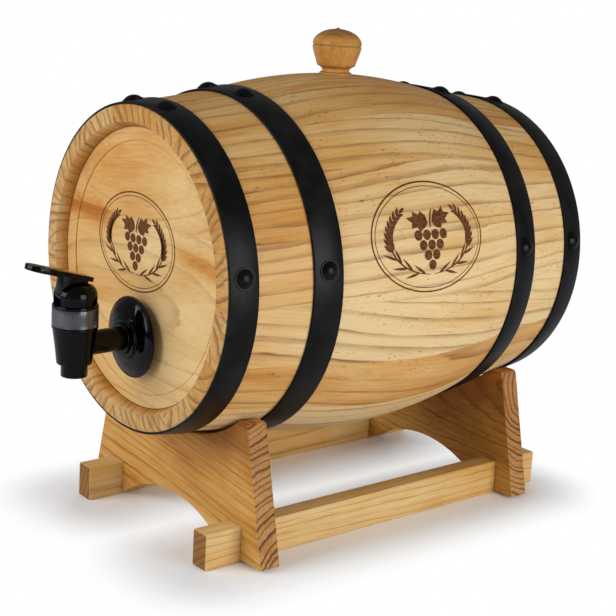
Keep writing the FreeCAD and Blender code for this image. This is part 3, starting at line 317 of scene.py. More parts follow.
def with_stops(ramp: Socket, stops: Sequence[tuple[float, str]]) -> Socket:
    """Give the colour ramp behind an output its stops, as places and hex colours."""
    elements = ramp.node.color_ramp.elements
    elements.remove(elements[-1])
    elements[0].position, elements[0].color = stops[0][0], colour(stops[0][1])
    for place, tint in stops[1:]:
        elements.new(place).color = colour(tint)
    return ramp


@dataclass(frozen=True)
class Finish:
    """A named finish, which writes its own nodes."""

    name: str

    def make(self) -> bpy.types.Material:
        """Build the material."""
        material = bpy.data.materials.new(self.name)
        material.use_nodes = True
        material.node_tree.nodes.clear()
        graph = Graph(material.node_tree)
        graph.add("OutputMaterial", {"Surface": self.surface(graph)})
        return material

    def surface(self, graph: Graph) -> Socket:
        """Write the finish's nodes and give back its shader."""
        raise NotImplementedError


class Grain(Enum):
    """World axis along which a board's fibres run."""

    X = (1.0, 0.0, 0.0)
    Y = (0.0, 1.0, 0.0)
    Z = (0.0, 0.0, 1.0)


@dataclass(frozen=True)
class Wood(Finish):
    """Sawn or turned softwood-like light oak under clear satin varnish.

    The growth rings are real rings about the log's pith, read from the piece's own "grain"
    attribute, which holds the place in the log in millimetres: across, along, outwards.  Pale
    spring wood darkens slowly into each brown late-wood line and starts again sharply.
    """

    grain: Grain
    pale: str = "e7c995"
    middle: str = "dcae6c"
    warm: str = "cc8f44"
    heart: str = "ae6e30"
    late: str = "8c5826"
    deep: str = "5d3716"
    ring: float = 7.0          # mm between rings
    strength: float = 0.82     # of the late-wood lines
    sway: float = 5.0          # mm by which the rings wander
    fleck: float = 0.75        # strength of the short dark flecks
    end_tint: str = "c6934f"
    end_share: float = 0.55    # of the end tint where the fibres end
    end_rings: float = 0.45    # strength of the rings there
    roughness: float = 0.46

    def surface(self, graph: Graph) -> Socket:
        """Lined and flecked wood with darker ends, and fibre relief under the varnish."""
        log = graph.add("Attribute", (), "Vector", attribute_name="grain")
        grown, luck = self._rings(graph, log)
        faces = self._lines(graph, log, grown, luck, self._body(graph, log))
        relief = graph.add("Math", (grown, 0.5, self._figure(graph, log, 0.6, 14, 2, 61)),
                           operation="MULTIPLY_ADD")
        return graph.add("BsdfPrincipled", {
            "Base Color": self._end_grain(graph, log, grown, faces), "Roughness": self.roughness,
            "IOR": 1.45, "Specular IOR Level": 0.22, "Normal": graph.add("Bump", {
                "Strength": 0.35, "Distance": 0.12 * MM, "Height": relief})})

    def _figure(
        self, graph: Graph, log: Socket, across: float, along: float, detail: float,
        shift: float, out: str = "Fac",
    ) -> Socket:
        """A soft pattern with features of a size in millimetres across and along the fibres."""
        place = graph.add("Mapping", {
            "Vector": log, "Location": (shift, shift, shift),
            "Scale": (1 / across, 1 / along, 1 / across)})
        return graph.add("TexNoise", {
            "Vector": place, "Scale": 1.0, "Detail": detail, "Roughness": 0.55}, out)

    def _rings(self, graph: Graph, log: Socket) -> tuple[Socket, Socket]:
        """The share of its ring that is grown at every point, and the ring's own luck."""
        place = log
        for across, along, detail, shift, share in ((38, 190, 1, 3.7, 2.0), (8, 42, 3, 11.3, 0.55)):
            off = graph.add("VectorMath", (self._figure(
                graph, log, across, along, detail, shift, "Color"), (0.5, 0.5, 0.5)),
                operation="SUBTRACT")
            reach = self.sway * share
            place = graph.add("VectorMath", (off, (reach, 0.0, reach), place),
                              operation="MULTIPLY_ADD")
        flat = graph.add("VectorMath", (place, (1.0, 0.0, 1.0)), operation="MULTIPLY")
        radius = graph.add("VectorMath", (flat,), "Value", operation="LENGTH")
        number = graph.add("Math", (radius, 1 / self.ring), operation="MULTIPLY")
        uneven = graph.add("TexNoise", {"W": number, "Scale": 0.55}, noise_dimensions="1D")
        number = graph.add("Math", (uneven, 1.3, number), operation="MULTIPLY_ADD")
        year = graph.add("Math", (number,), operation="FLOOR")
        luck = graph.add("TexWhiteNoise", {"W": year}, noise_dimensions="1D")
        return graph.add("Math", (number,), operation="FRACT"), luck

    def _body(self, graph: Graph, log: Socket) -> Socket:
        """Spring-wood colour with clouds, fibres and a tone that holds some painted shade."""
        tone = graph.add("Attribute", (), "Fac", attribute_name="tone")
        cloud = self._figure(graph, log, 22, 90, 3, 21)
        fibre = self._figure(graph, log, 0.9, 26, 3, 5)
        mixed = graph.add("Math", (fibre, 0.6, cloud), operation="MULTIPLY_ADD")
        mixed = graph.add("Math", (tone, 0.3, mixed), operation="MULTIPLY_ADD")
        return with_stops(graph.add("ValToRGB", (graph.add("MapRange", (mixed, 0.4, 1.7)),)), [
            (0.2, self.pale), (0.45, self.middle), (0.7, self.warm), (1.0, self.heart)])

    def _lines(
        self, graph: Graph, log: Socket, grown: Socket, luck: Socket, base: Socket,
    ) -> Socket:
        """Late-wood lines and short dark flecks over the spring wood."""
        late = with_stops(graph.add("ValToRGB", (grown,)), [
            (0.0, "606060"), (0.05, "0c0c0c"), (0.4, "000000"), (0.7, "404040"),
            (0.88, "d8d8d8"), (0.965, "ffffff"), (1.0, "606060")])
        firm = graph.add("MapRange", (luck, 0, 1, 0.4 * self.strength, 1.15 * self.strength))
        worn = graph.add("MapRange", (self._figure(graph, log, 5, 34, 2, 31), 0.3, 0.65, 0.4, 1.1))
        weight = graph.add("Math", (firm, worn), operation="MULTIPLY")
        weight = graph.add("Math", (late, weight), operation="MULTIPLY")
        dots = graph.add("MapRange", (self._figure(graph, log, 0.75, 3.6, 1, 41), 0.63, 0.74))
        here = graph.add("MapRange", (
            self._figure(graph, log, 14, 40, 1, 47), 0.45, 0.62, 0, self.fleck))
        flecks = graph.add("Math", (dots, here), operation="MULTIPLY")
        for share, tint in ((weight, self.late), (flecks, self.deep)):
            base = graph.add("Mix", {"Factor": share, "A": base, "B": tint}, "Result",
                             data_type="RGBA")
        return base

    def _end_grain(self, graph: Graph, log: Socket, grown: Socket, faces: Socket) -> Socket:
        """Darker, pinker faces where the fibres end, with open pores, rays and firmer rings."""
        normal = graph.add("TexCoord", (), "Normal")
        across = graph.add("VectorMath", (normal, self.grain.value), "Value",
                           operation="DOT_PRODUCT")
        size = graph.add("Math", (across,), operation="ABSOLUTE")
        pores, rays = (
            graph.add("TexNoise", {"Scale": 1.0, "Vector": graph.add(
                "Mapping", {"Vector": log, "Scale": scale})})
            for scale in ((1 / 0.9, 0.02, 1 / 0.9), (1 / 3.4, 0.03, 1 / 15.0)))
        firm = graph.add("Math", (
            graph.add("MapRange", (pores, 0.4, 0.75, 0, 0.25)),
            graph.add("MapRange", (grown, 0.6, 0.95, 0, self.end_rings))),
            operation="ADD", use_clamp=True)
        rayed = graph.add("MapRange", (rays, 0.47, 0.68, 0, 0.6))
        ends = faces
        for share, tint in ((self.end_share, self.end_tint), (rayed, self.heart),
                            (firm, self.deep)):
            ends = graph.add("Mix", {"Factor": share, "A": ends, "B": tint}, "Result",
                             data_type="RGBA")
        return graph.add("Mix", {
            "Factor": graph.add("MapRange", (size, 0.55, 0.9)), "A": faces, "B": ends},
            "Result", data_type="RGBA")


@dataclass(frozen=True)
class PaintedSteel(Finish):
    """Rolled steel strip under satin black paint: even, faintly uneven where it was sprayed."""

    tint: str = "0b0b0c"
    dust: str = "19191b"
    roughness: float = 0.34
    haze: float = 14.0         # mm across the uneven spraying
    peel: float = 0.9          # mm across the paint's orange peel

    def surface(self, graph: Graph) -> Socket:
        """Two blacks in a haze, with orange peel."""
        place = graph.add("TexCoord", (), "Object")
        broad = graph.add("TexNoise", {
            "Vector": place, "Scale": 1 / (self.haze * MM), "Detail": 3.0})
        fine = graph.add("TexNoise", {"Vector": place, "Scale": 1 / (self.peel * MM)})
        haze = graph.add("MapRange", (broad, 0.4, 0.75))
        return graph.add("BsdfPrincipled", {
            "Base Color": graph.add("Mix", {
                "Factor": haze, "A": self.tint, "B": self.dust}, "Result", data_type="RGBA"),
            "Roughness": graph.add("MapRange", (
                broad, 0.3, 0.7, self.roughness - 0.05, self.roughness + 0.08)),
            "Specular IOR Level": 0.12, "Normal": graph.add("Bump", {
                "Strength": 0.12, "Distance": 0.08 * MM, "Height": fine})})


@dataclass(frozen=True)
class Moulded(Finish):
    """Injection-moulded plastic or rubber: one body colour with faint flow marks."""

    tint: str
    flow: str
    roughness: float
    specular: float = 0.5
    marks: float = 3.0         # mm across the flow marks
    relief: float = 0.02       # mm of depth of the marks

    def surface(self, graph: Graph) -> Socket:
        """Two tones that flow into each other, with a faint relief."""
        marks = graph.add("TexNoise", {
            "Vector": graph.add("TexCoord", (), "Object"), "Scale": 1 / (self.marks * MM)})
        return graph.add("BsdfPrincipled", {
            "Base Color": graph.add("Mix", {
                "Factor": marks, "A": self.tint, "B": self.flow}, "Result", data_type="RGBA"),
            "Roughness": graph.add("MapRange", (
                marks, 0, 1, max(self.roughness - 0.05, 0.02), self.roughness + 0.05)),
            "Specular IOR Level": self.specular, "Normal": graph.add("Bump", {
                "Strength": 0.1, "Distance": self.relief * MM, "Height": marks})})


@dataclass(frozen=True)
class BareMetal(Finish):
    """Drawn or plated steel with an uneven polish."""

    tint: str
    shade: str
    roughness: float
    marks: float = 0.4         # mm across the marks

    def surface(self, graph: Graph) -> Socket:
        """Metal of two near tones."""
        marks = graph.add("TexNoise", {
            "Vector": graph.add("TexCoord", (), "Object"), "Scale": 1 / (self.marks * MM)})
        return graph.add("BsdfPrincipled", {
            "Base Color": graph.add("Mix", {
                "Factor": marks, "A": self.tint, "B": self.shade}, "Result", data_type="RGBA"),
            "Metallic": 1.0, "Roughness": graph.add("MapRange", (
                marks, 0, 1, self.roughness - 0.06, self.roughness + 0.06))})


@dataclass(frozen=True)
class BurntWood(Finish):
    """Laser-burnt oak: brown char that is darker in the middle of the fibres."""

    char: str = "4a260c"
    scorch: str = "7c4a1e"
    marks: float = 0.8         # mm across the streaks, which are four times as long

    def surface(self, graph: Graph) -> Socket:
        """Char and scorch in streaks along the fibres, with a rough relief."""
        place = graph.add("Mapping", {
            "Vector": graph.add("TexCoord", (), "Object"), "Scale": (1.0, 0.25, 1.0)})
        marks = graph.add("TexNoise", {"Vector": place, "Scale": 1 / (self.marks * MM)})
        return graph.add("BsdfPrincipled", {
            "Base Color": graph.add("Mix", {
                "Factor": graph.add("MapRange", (marks, 0.35, 0.7)), "A": self.char,
                "B": self.scorch}, "Result", data_type="RGBA"),
            "Roughness": 0.75, "Specular IOR Level": 0.25, "Normal": graph.add("Bump", {
                "Strength": 0.4, "Distance": 0.1 * MM, "Height": marks})})


@dataclass(frozen=True)
class Paper(Finish):
    """Matt white paper that keeps the shadow near the stand and is pure white further out.

    Only the camera sees the lift and the white; the object is lit by the plain paper. Near the
    rails the lift falls short of white even where the floor is lit: a painted shadow halo.
    """

    # The halo and the gain paint a shadow: near the rails the lift falls short of white, so the lit
    # floor stays grey there and turns white over the halo.
    painted_shadow_halo: Point = (6.0, 60.0)      # mm from the rails over which the floor turns white
    gain: float = 1.25             # brings the dimly lit floor up to white for the camera
    middle: float = 27.0           # of the rails, along Y
    half_width: float = 59.4
    half_length: float = 121.0
    margin: float = 6.0            # beside the rails, where it is still grey
    inner_share: float = -0.8      # how fast it turns white between the rails
    fibre: float = 900.0           # fibres in a metre

    def surface(self, graph: Graph) -> Socket:
        """Paper whose white grows with the distance from the rails."""
        place = graph.add("TexCoord", (), "Object")
        seen = graph.add("LightPath", (), "Is Camera Ray")
        off = place
        for operation, value in (
            ("SUBTRACT", (0.0, self.middle * MM, 0.0)), ("ABSOLUTE", (0.0, 0.0, 0.0)),
            ("SUBTRACT", (self.half_width * MM, 0.0, 0.0)),
        ):
            off = graph.add("VectorMath", (off, value), operation=operation)
        inner = graph.add("VectorMath", (off, (self.inner_share, 1.0, 1.0)), operation="MULTIPLY")
        for operation, value in (
            ("MAXIMUM", inner), ("SUBTRACT", (self.margin * MM, self.half_length * MM, 0.0)),
            ("MAXIMUM", (0.0, 0.0, 0.0)),
        ):
            off = graph.add("VectorMath", (off, value), operation=operation)
        away = graph.add("VectorMath", (off,), "Value", operation="LENGTH")
        share = graph.add("MapRange", (away, self.painted_shadow_halo[0] * MM, self.painted_shadow_halo[1] * MM),
                          interpolation_type="SMOOTHSTEP")
        fibres = graph.add("TexNoise", {"Vector": place, "Scale": self.fibre})
        paper = graph.add("Mix", {"Factor": fibres, "A": "ebeff4", "B": "eff3f8"}, "Result",
                          data_type="RGBA")
        lifted = graph.add("VectorMath", {
            0: paper, "Scale": graph.add("MapRange", (seen, 0, 1, 1, self.gain))},
            operation="SCALE")
        return graph.add("MixShader", (
            graph.add("Math", (seen, share), operation="MULTIPLY"),
            graph.add("BsdfDiffuse", (lifted,)), graph.add("Emission", ("ffffff", 1.0))))


def dress_node(name: str, material: bpy.types.Material) -> None:
    """Give a CAD node a material through its object's slots."""
    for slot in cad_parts[name].material_slots:
        slot.link = "OBJECT"
        slot.material = material


def place_piece(
    piece: Piece, material: bpy.types.Material, body: str, nodes: Sequence[str],
) -> None:
    """Dress a finished piece and tie it to its body.

    Args:
        piece: the finished piece.
        material: its only or first material.
        body: the CAD body that it rides on.
        nodes: the CAD nodes that it stands for, if any.
    """
    piece.data.materials.clear()
    piece.data.materials.append(material)
    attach(piece, body)
    if nodes:
        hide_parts(*nodes)
    LOG.info("%s rides on %s, %d faces", piece.name, body, len(piece.data.polygons))


LOG_SPACING = 700.0        # mm along the fibres between one board's figure and the next one's
# Wood deeper than SKIN, the inner walls at the chime, gets painted shade.
SKIN = 11.0                # mm of depth under a board's face that count as its outside


@dataclass(frozen=True)
class Log:
    """How a board was cut from its log; all in millimetres, leans in millimetres a metre."""

    depth: float               # from the board's outer face down to the pith
    side: float = 0.0          # pith beside the board's middle
    lean: float = 0.0          # pith's lean in depth along the board
    drift: float = 0.0         # pith's lean sideways along the board
    bow: float = 0.0           # pith's bend away from the face at 100 mm from the board's middle
    number: int = 0            # makes every board's figure its own

    def place(self, across: float, along: float, outward: float) -> Place:
        """The place in the log of a place in the board."""
        return (
            across - self.side - self.drift * along * MM,
            along + LOG_SPACING * self.number,
            outward + self.depth - self.lean * along * MM + self.bow * (along / 100) ** 2,
        )


@dataclass(frozen=True)
class Streak:
    """A darker band along a board, in millimetres from the board's middle; on the cradles it is
    painted shade.
    """

    across: float
    width: float
    strength: float            # what it adds to the board's tone
    slope: float = 0.0         # millimetres across for each millimetre along
    start: float = -1000.0
    end: float = 1000.0
    fade: float = 12.0         # length over which it ends

    def tone(self, across: float, along: float) -> float:
        """What the streak adds at a place on the board."""
        off = (across - self.across - self.slope * along) / self.width
        inside = min(along - self.start, self.end - along) / self.fade
        return self.strength * math.exp(-off * off) * min(max(inside, 0.0), 1.0)


def lay_grain(
    piece: Piece, to_board: Callable[[Vector], Place], log: Log, tone: float,
    streaks: Sequence[Streak] = (), inside: float = 0.0,
) -> None:
    """Write where every vertex lies in its log, and the wood's tone there.

    Args:
        piece: the finished wooden piece.
        to_board: gives across, along and outwards in millimetres for a vertex in metres.
        log: how the board was cut.
        tone: from -1, pale, to 1, dark.
        streaks: bands of darker wood.
        inside: painted shade that wood under the board's skin, at the chime, adds to the tone.
    """
    mesh = piece.data
    boards = [to_board(vertex.co) for vertex in mesh.vertices]
    places = mesh.attributes.new("grain", "FLOAT_VECTOR", "POINT")
    places.data.foreach_set("vector", [value for board in boards for value in log.place(*board)])
    tones = mesh.attributes.new("tone", "FLOAT", "POINT")
    tones.data.foreach_set("value", [
        tone + inside * (b[2] < -SKIN) + sum(streak.tone(b[0], b[1]) for streak in streaks)
        for b in boards])


# --- The cask's shape ---------------------------------------------------------------------
@dataclass(frozen=True)
class CaskShape:
    """Sizes that the sub-assemblies share."""

    middle: float = 29.2774    # cask's middle along Y
    height: float = 152.5      # cask's axis above the table
    length: float = 267.0
    end_radius: float = 87.9
    kink_radius: float = 96.7
    belly_radius: float = 104.5
    taper: float = 66.5
    wall: float = 12.3
    recess: float = 7.9        # flat middle of the heads behind the chime
    tap_drop: float = 37.5     # tap's shank below the cask's axis
    bung_place: float = 4.0    # bung behind the cask's middle
    seat_drop: float = 0.5     # bung's flat seat under the top of the belly

    @property
    def half(self) -> float:
        """Half the cask's length."""
        return self.length / 2

    @property
    def kink(self) -> float:
        """Where the taper meets the belly's arc, from the middle."""
        return self.half - self.taper

    @property
    def face(self) -> float:
        """Where the front head's outer face is along Y."""
        return self.middle - self.half + self.recess

    @property
    def centre(self) -> Vector:
        """The cask's middle on its axis, in metres."""
        return at(0, self.middle, self.height)

    @property
    def to_rear(self) -> Matrix:
        """Mirrors the front half of the cask to the rear."""
        return Matrix.Translation((0, 2 * self.middle * MM, 0)) @ Matrix.Scale(-1, 4, ALONG)

    def over_seat(self, radius: float, height: float) -> Vector:
        """A point beside the bung's axis, from the height over its seat."""
        seat = self.height + self.belly_radius - self.seat_drop
        return at(radius, self.middle + self.bung_place, seat + height)

    def cone(self, along: float) -> float:
        """Radius of the end's taper carried on past the kink, which the hoops follow."""
        share = (self.half - abs(along)) / self.taper
        return self.end_radius + share * (self.kink_radius - self.end_radius)

    def outer(self, along: float) -> float:
        """Outside radius of the staves at a distance from the middle."""
        if abs(along) >= self.kink:
            return self.cone(along)
        rise = self.belly_radius - self.kink_radius
        arc = (self.kink ** 2 + rise ** 2) / (2 * rise)
        return self.belly_radius - arc + math.sqrt(arc ** 2 - along ** 2)

    def above(self, along: float, radius: float) -> Vector:
        """Point straight above the axis."""
        return at(0, self.middle + along, self.height + radius)

    def turn(self, degrees: float) -> Matrix:
        """Turns a piece about the cask's axis, from +X towards the top."""
        return turn_about(self.centre, -ALONG, degrees)

    def lathe(
        self, name: str, section: Sequence[Point], steps: int, closed: bool = False,
        angle: float = 360.0,
    ) -> Piece:
        """Turn a section of distances from the middle and radii about the cask's axis."""
        points = [self.above(*place) for place in section]
        return turned(name, points, self.centre, ALONG, steps, closed, angle)

    def spoke(self, place: Vector) -> Place:
        """Angle from +X in degrees, distance along from the middle and radius of a point."""
        x, z = place.x / MM, place.z / MM - self.height
        return math.degrees(math.atan2(z, x)), place.y / MM - self.middle, math.hypot(x, z)


CASK = CaskShape()
# The darker tones of stave_16, stave_17 and bung_stave, on top of the cask, are partly the boards'
# own tone and partly painted shade of the top.
CHOSEN_STAVES = {       # tone, the log's depth, side and drift, and what the front end adds
    "stave_10": (0.1, 34.0, 44.0, 20.0, 0.0),
    "stave_11": (-0.5, 20.0, -18.0, 40.0, 0.5),
    "stave_12": (0.95, 24.0, 16.0, -60.0, 0.0),
    "stave_13": (-0.4, 40.0, -46.0, -150.0, 0.5),
    "stave_14": (-0.1, 36.0, 52.0, 60.0, 1.1),
    "stave_15": (0.2, 30.0, 50.0, 20.0, 1.2),
    "stave_16": (0.55, 34.0, -52.0, -30.0, 0.2),
    "stave_17": (0.9, 38.0, 46.0, 15.0, -0.2),
    "bung_stave": (1.1, 36.0, 54.0, -20.0, 0.0),
}


@dataclass
class StaveRing:
    """The ring of staves: a wide bung stave on top and plain ones around the cask."""

    bung_width: float = 29.0
    side_widths: tuple[float, ...] = (18.4, 18.4, 20.8, 20.8, 20.8, 20.8, 18.2, 18.2)
    bottom_width: float = 18.2
    outer_chamfer: float = 0.8
    bevel_width: float = 3.4       # the inner bevel thins the staves at the chime
    bevel_depth: float = 6.0
    croze_depth: float = 2.5
    croze_start: float = 122.5     # groove's outer wall, from the cask's middle
    croze_width: float = 4.0
    seam_round: float = 0.12
    hole_radius: float = 8.0
    seat_radius: float = 9.8
    finish: Wood = Wood("varnished_stave_oak", Grain.Y)

    def starts(self) -> list[tuple[str, float, float]]:
        """Name, start angle and width of every stave."""
        widths = self.side_widths + (self.bottom_width,) + self.side_widths[::-1]
        scale = (360 - self.bung_width) / sum(widths)
        start = 90 + self.bung_width / 2
        staves = [("bung_stave", start - self.bung_width, self.bung_width)]
        for number, width in enumerate(widths, 1):
            staves.append((f"stave_{number:02d}", start, width * scale))
            start += width * scale
        return staves

    def section(self) -> list[Point]:
        """Closed long section of a stave, from the front end round."""
        half, kink, groove = CASK.half, CASK.kink, -self.croze_start
        front = [-half + self.outer_chamfer, *(-half + 9.0 + 9.6 * i for i in range(6)),
                 *(-kink + kink * i / 9 for i in range(10))]
        outside = [(y, CASK.outer(y)) for y in front + [-y for y in front[-2::-1]]]
        inner = [(-half + self.bevel_depth, 0.0), (groove, 0.0), (groove, self.croze_depth),
                 (groove + self.croze_width, self.croze_depth), (groove + self.croze_width, 0.0),
                 (-kink, 0.0)]
        inner += [(y, 0.0) for y in (-45.0, -22.0, 0.0)]
        inner += [(-y, depth) for y, depth in inner[-2::-1]]
        inside = [(y, CASK.outer(y) - CASK.wall + depth) for y, depth in inner]
        tip = CASK.end_radius - self.outer_chamfer
        bevel = CASK.end_radius - CASK.wall + self.bevel_width
        return [(-half, tip), *outside, (half, tip), (half, bevel), *inside[::-1], (-half, bevel)]

    def plain(self, width: float) -> Piece:
        """A stave of a width in degrees, centred over the axis."""
        steps = 8 if width < self.bung_width else 12
        stave = CASK.lathe(f"stave_of_{width:.1f}", self.section(), steps, True, width)
        side = sum(vertex.co.x for vertex in stave.data.vertices)
        stave.data.transform(CASK.turn(math.copysign(width / 2, side)))
        return rounded(stave, self.seam_round, segments=1, angle=50.0)

    def build(self) -> None:
        """Build and place all staves."""
        material = self.finish.make()
        patterns: dict[float, Piece] = {}
        dice = random.Random(5)
        for name, start, width in self.starts():
            key = round(width, 1)
            if key not in patterns:
                patterns[key] = self.plain(width)
            middle = start + width / 2
            stave = copy_of(patterns[key], f"oak_{name}", CASK.turn(middle - 90))
            if name == "bung_stave":
                top = CASK.over_seat(0, 20)
                bored(stave, self.seat_radius, CASK.over_seat(0, 0), top, 64)
                axis = Vector((0, top.y, CASK.height * MM))
                bored(stave, self.hole_radius, axis, top, 64)
            smooth(stave, 30)
            self.grain(stave, middle, dice, name)
            place_piece(stave, material, "cask", [name])
        discard(*patterns.values())

    def grain(self, stave: Piece, middle: float, dice: random.Random, name: str) -> None:
        """Lay the grain of one stave, whose lines draw together towards its ends."""
        def to_board(place: Vector) -> Place:
            angle, along, radius = CASK.spoke(place)
            off = (angle - middle + 180) % 360 - 180
            return math.radians(off) * CASK.belly_radius, along, radius - CASK.outer(along)

        number = 1 if name == "bung_stave" else int(name[-2:]) + 1
        log = Log(
            depth=dice.uniform(30, 50), side=dice.choice((-1, 1)) * dice.uniform(36, 64),
            lean=dice.uniform(-30, 30), drift=dice.uniform(-30, 30), number=number)
        tone, streaks = dice.uniform(-0.5, 0.6), ()
        if name in CHOSEN_STAVES:
            tone, depth, side, drift, front = CHOSEN_STAVES[name]
            log = Log(depth=depth, side=side, drift=drift, lean=log.lean, number=number)
            streaks = (Streak(across=0.0, width=90.0, strength=front, end=-64.0, fade=14.0),)
        # inside paints shade on the inner walls in the recess at the chime.
        lay_grain(stave, to_board, log, tone, streaks, inside=2.6)


FRONT_BOARDS = (        # lower, middle and upper board of the front head
    (Log(depth=58.0, side=34.0, lean=20.0, drift=-60.0, bow=6.0, number=30), 0.1, (
        Streak(across=0.0, width=120.0, strength=0.9, end=10.0, fade=70.0),)),
    (Log(depth=46.0, side=-22.0, lean=-60.0, drift=90.0, bow=10.0, number=31), -0.15, (
        Streak(across=0.0, width=120.0, strength=1.35, end=20.0, fade=85.0),
        Streak(across=22.0, width=6.5, strength=2.3, slope=-0.06, end=-28.0, fade=16.0),
        Streak(across=20.0, width=5.0, strength=1.9, slope=-0.14, start=16.0, fade=24.0),
    )),
    (Log(depth=21.0, side=0.0, lean=-40.0, drift=110.0, bow=22.0, number=32), 0.6, (
        Streak(across=0.0, width=120.0, strength=0.5, end=40.0, fade=60.0),
        Streak(across=-26.0, width=6.0, strength=1.5, slope=0.04, end=-32.0, fade=16.0),
    )),
)


@dataclass
class Heads:
    """The two heads, each of three boards with a raised sloped rim, recessed in the chime."""

    thickness: float = 9.0
    rim_width: float = 7.8
    rim_rise: float = 1.6
    setback: float = 3.1           # tongue behind the flat middle
    tongue: float = 4.0
    tongue_reach: float = 2.3      # into the groove
    wall_gap: float = 0.15
    seam: float = 26.5             # the middle board's seams from the axis
    seam_round: float = 0.1
    groove: float = 0.4            # depth of the fine groove at the edge of the flat middle
    rings: int = 9                 # steps of the flat middle, which carry the wood's figure
    tap_hole: float = 6.8
    finish: Wood = Wood(
        "varnished_head_oak", Grain.X, pale="e6c48c", middle="d9ae6e", warm="cb9148",
        heart="b36a22", strength=0.45, ring=6.0, fleck=0.2, sway=6.0)

    def disc(self, name: str) -> Piece:
        """One whole front head."""
        def edge(along: float) -> float:
            return CASK.outer(along) - CASK.wall - self.wall_gap

        face = -(CASK.half - CASK.recess)
        back, rim = face + self.thickness, face - self.rim_rise
        front_side = face + self.setback
        rear_side = front_side + self.tongue
        reach = CASK.outer(front_side) - CASK.wall + self.tongue_reach
        flat = edge(rim) - self.rim_width
        section = [
            (back, 0.0), (back, edge(rear_side) - 2 * (back - rear_side)),
            (rear_side, edge(rear_side)), (rear_side, reach), (front_side, reach),
            (front_side, edge(front_side)), (rim + 0.3, edge(rim)), (rim, edge(rim) - 0.3),
            (face - 0.25, flat + 0.95), (face + self.groove, flat + 0.6),
            (face + self.groove, flat + 0.4),
            *((face, flat * i / self.rings) for i in range(self.rings, -1, -1))]
        return CASK.lathe(name, section, 128)

    def board(self, name: str, low: float, high: float) -> Piece:
        """The part of a head between two heights above the axis."""
        piece = self.disc(name)
        edit(piece)
        for height, upper in ((low, False), (high, True)):
            bpy.ops.mesh.select_all(action="SELECT")
            bpy.ops.mesh.bisect(plane_co=CASK.above(0, height), plane_no=UP, use_fill=True,
                                clear_outer=upper, clear_inner=not upper)
        return rounded(finish_edit(piece), self.seam_round, segments=1, angle=60.0)

    def build(self) -> None:
        """Build and place both heads."""
        material = self.finish.make()
        dice = random.Random(3)
        seam, reach = self.seam, CASK.end_radius
        levels = (("lower", -reach, -seam), ("middle", -seam, seam), ("upper", seam, reach))
        for number, (which, low, high) in enumerate(levels):
            front = self.board(f"oak_front_head_{which}_board", low, high)
            back = copy_of(front, f"oak_rear_head_{which}_board", CASK.to_rear)
            if which == "lower":
                start = CASK.above(-CASK.half, -CASK.tap_drop)
                bored(front, self.tap_hole, start, start + 40 * MM * ALONG, 64)
            for side, end, piece in ((-1, "front", front), (1, "rear", back)):
                smooth(piece, 30)
                self.grain(piece, side, number, dice)
                place_piece(piece, material, "cask", [f"{end}_head_{which}_board"])

    def grain(self, piece: Piece, side: int, number: int, dice: random.Random) -> None:
        """Lay the grain of a head board along X."""
        middle = CASK.height + (number - 1) * 2 * self.seam
        face = CASK.middle + side * (CASK.half - CASK.recess)

        def to_board(place: Vector) -> Place:
            return place.z / MM - middle, place.x / MM, side * (place.y / MM - face)

        log = Log(
            depth=dice.uniform(30, 70), side=dice.uniform(-20, 20), lean=dice.uniform(-90, 90),
            drift=dice.uniform(-40, 40), bow=dice.uniform(4, 14), number=35 + number)
        tone, streaks = dice.uniform(-0.4, 0.3), ()
        if side < 0:
            log, tone, streaks = FRONT_BOARDS[number]
        lay_grain(piece, to_board, log, tone, streaks)


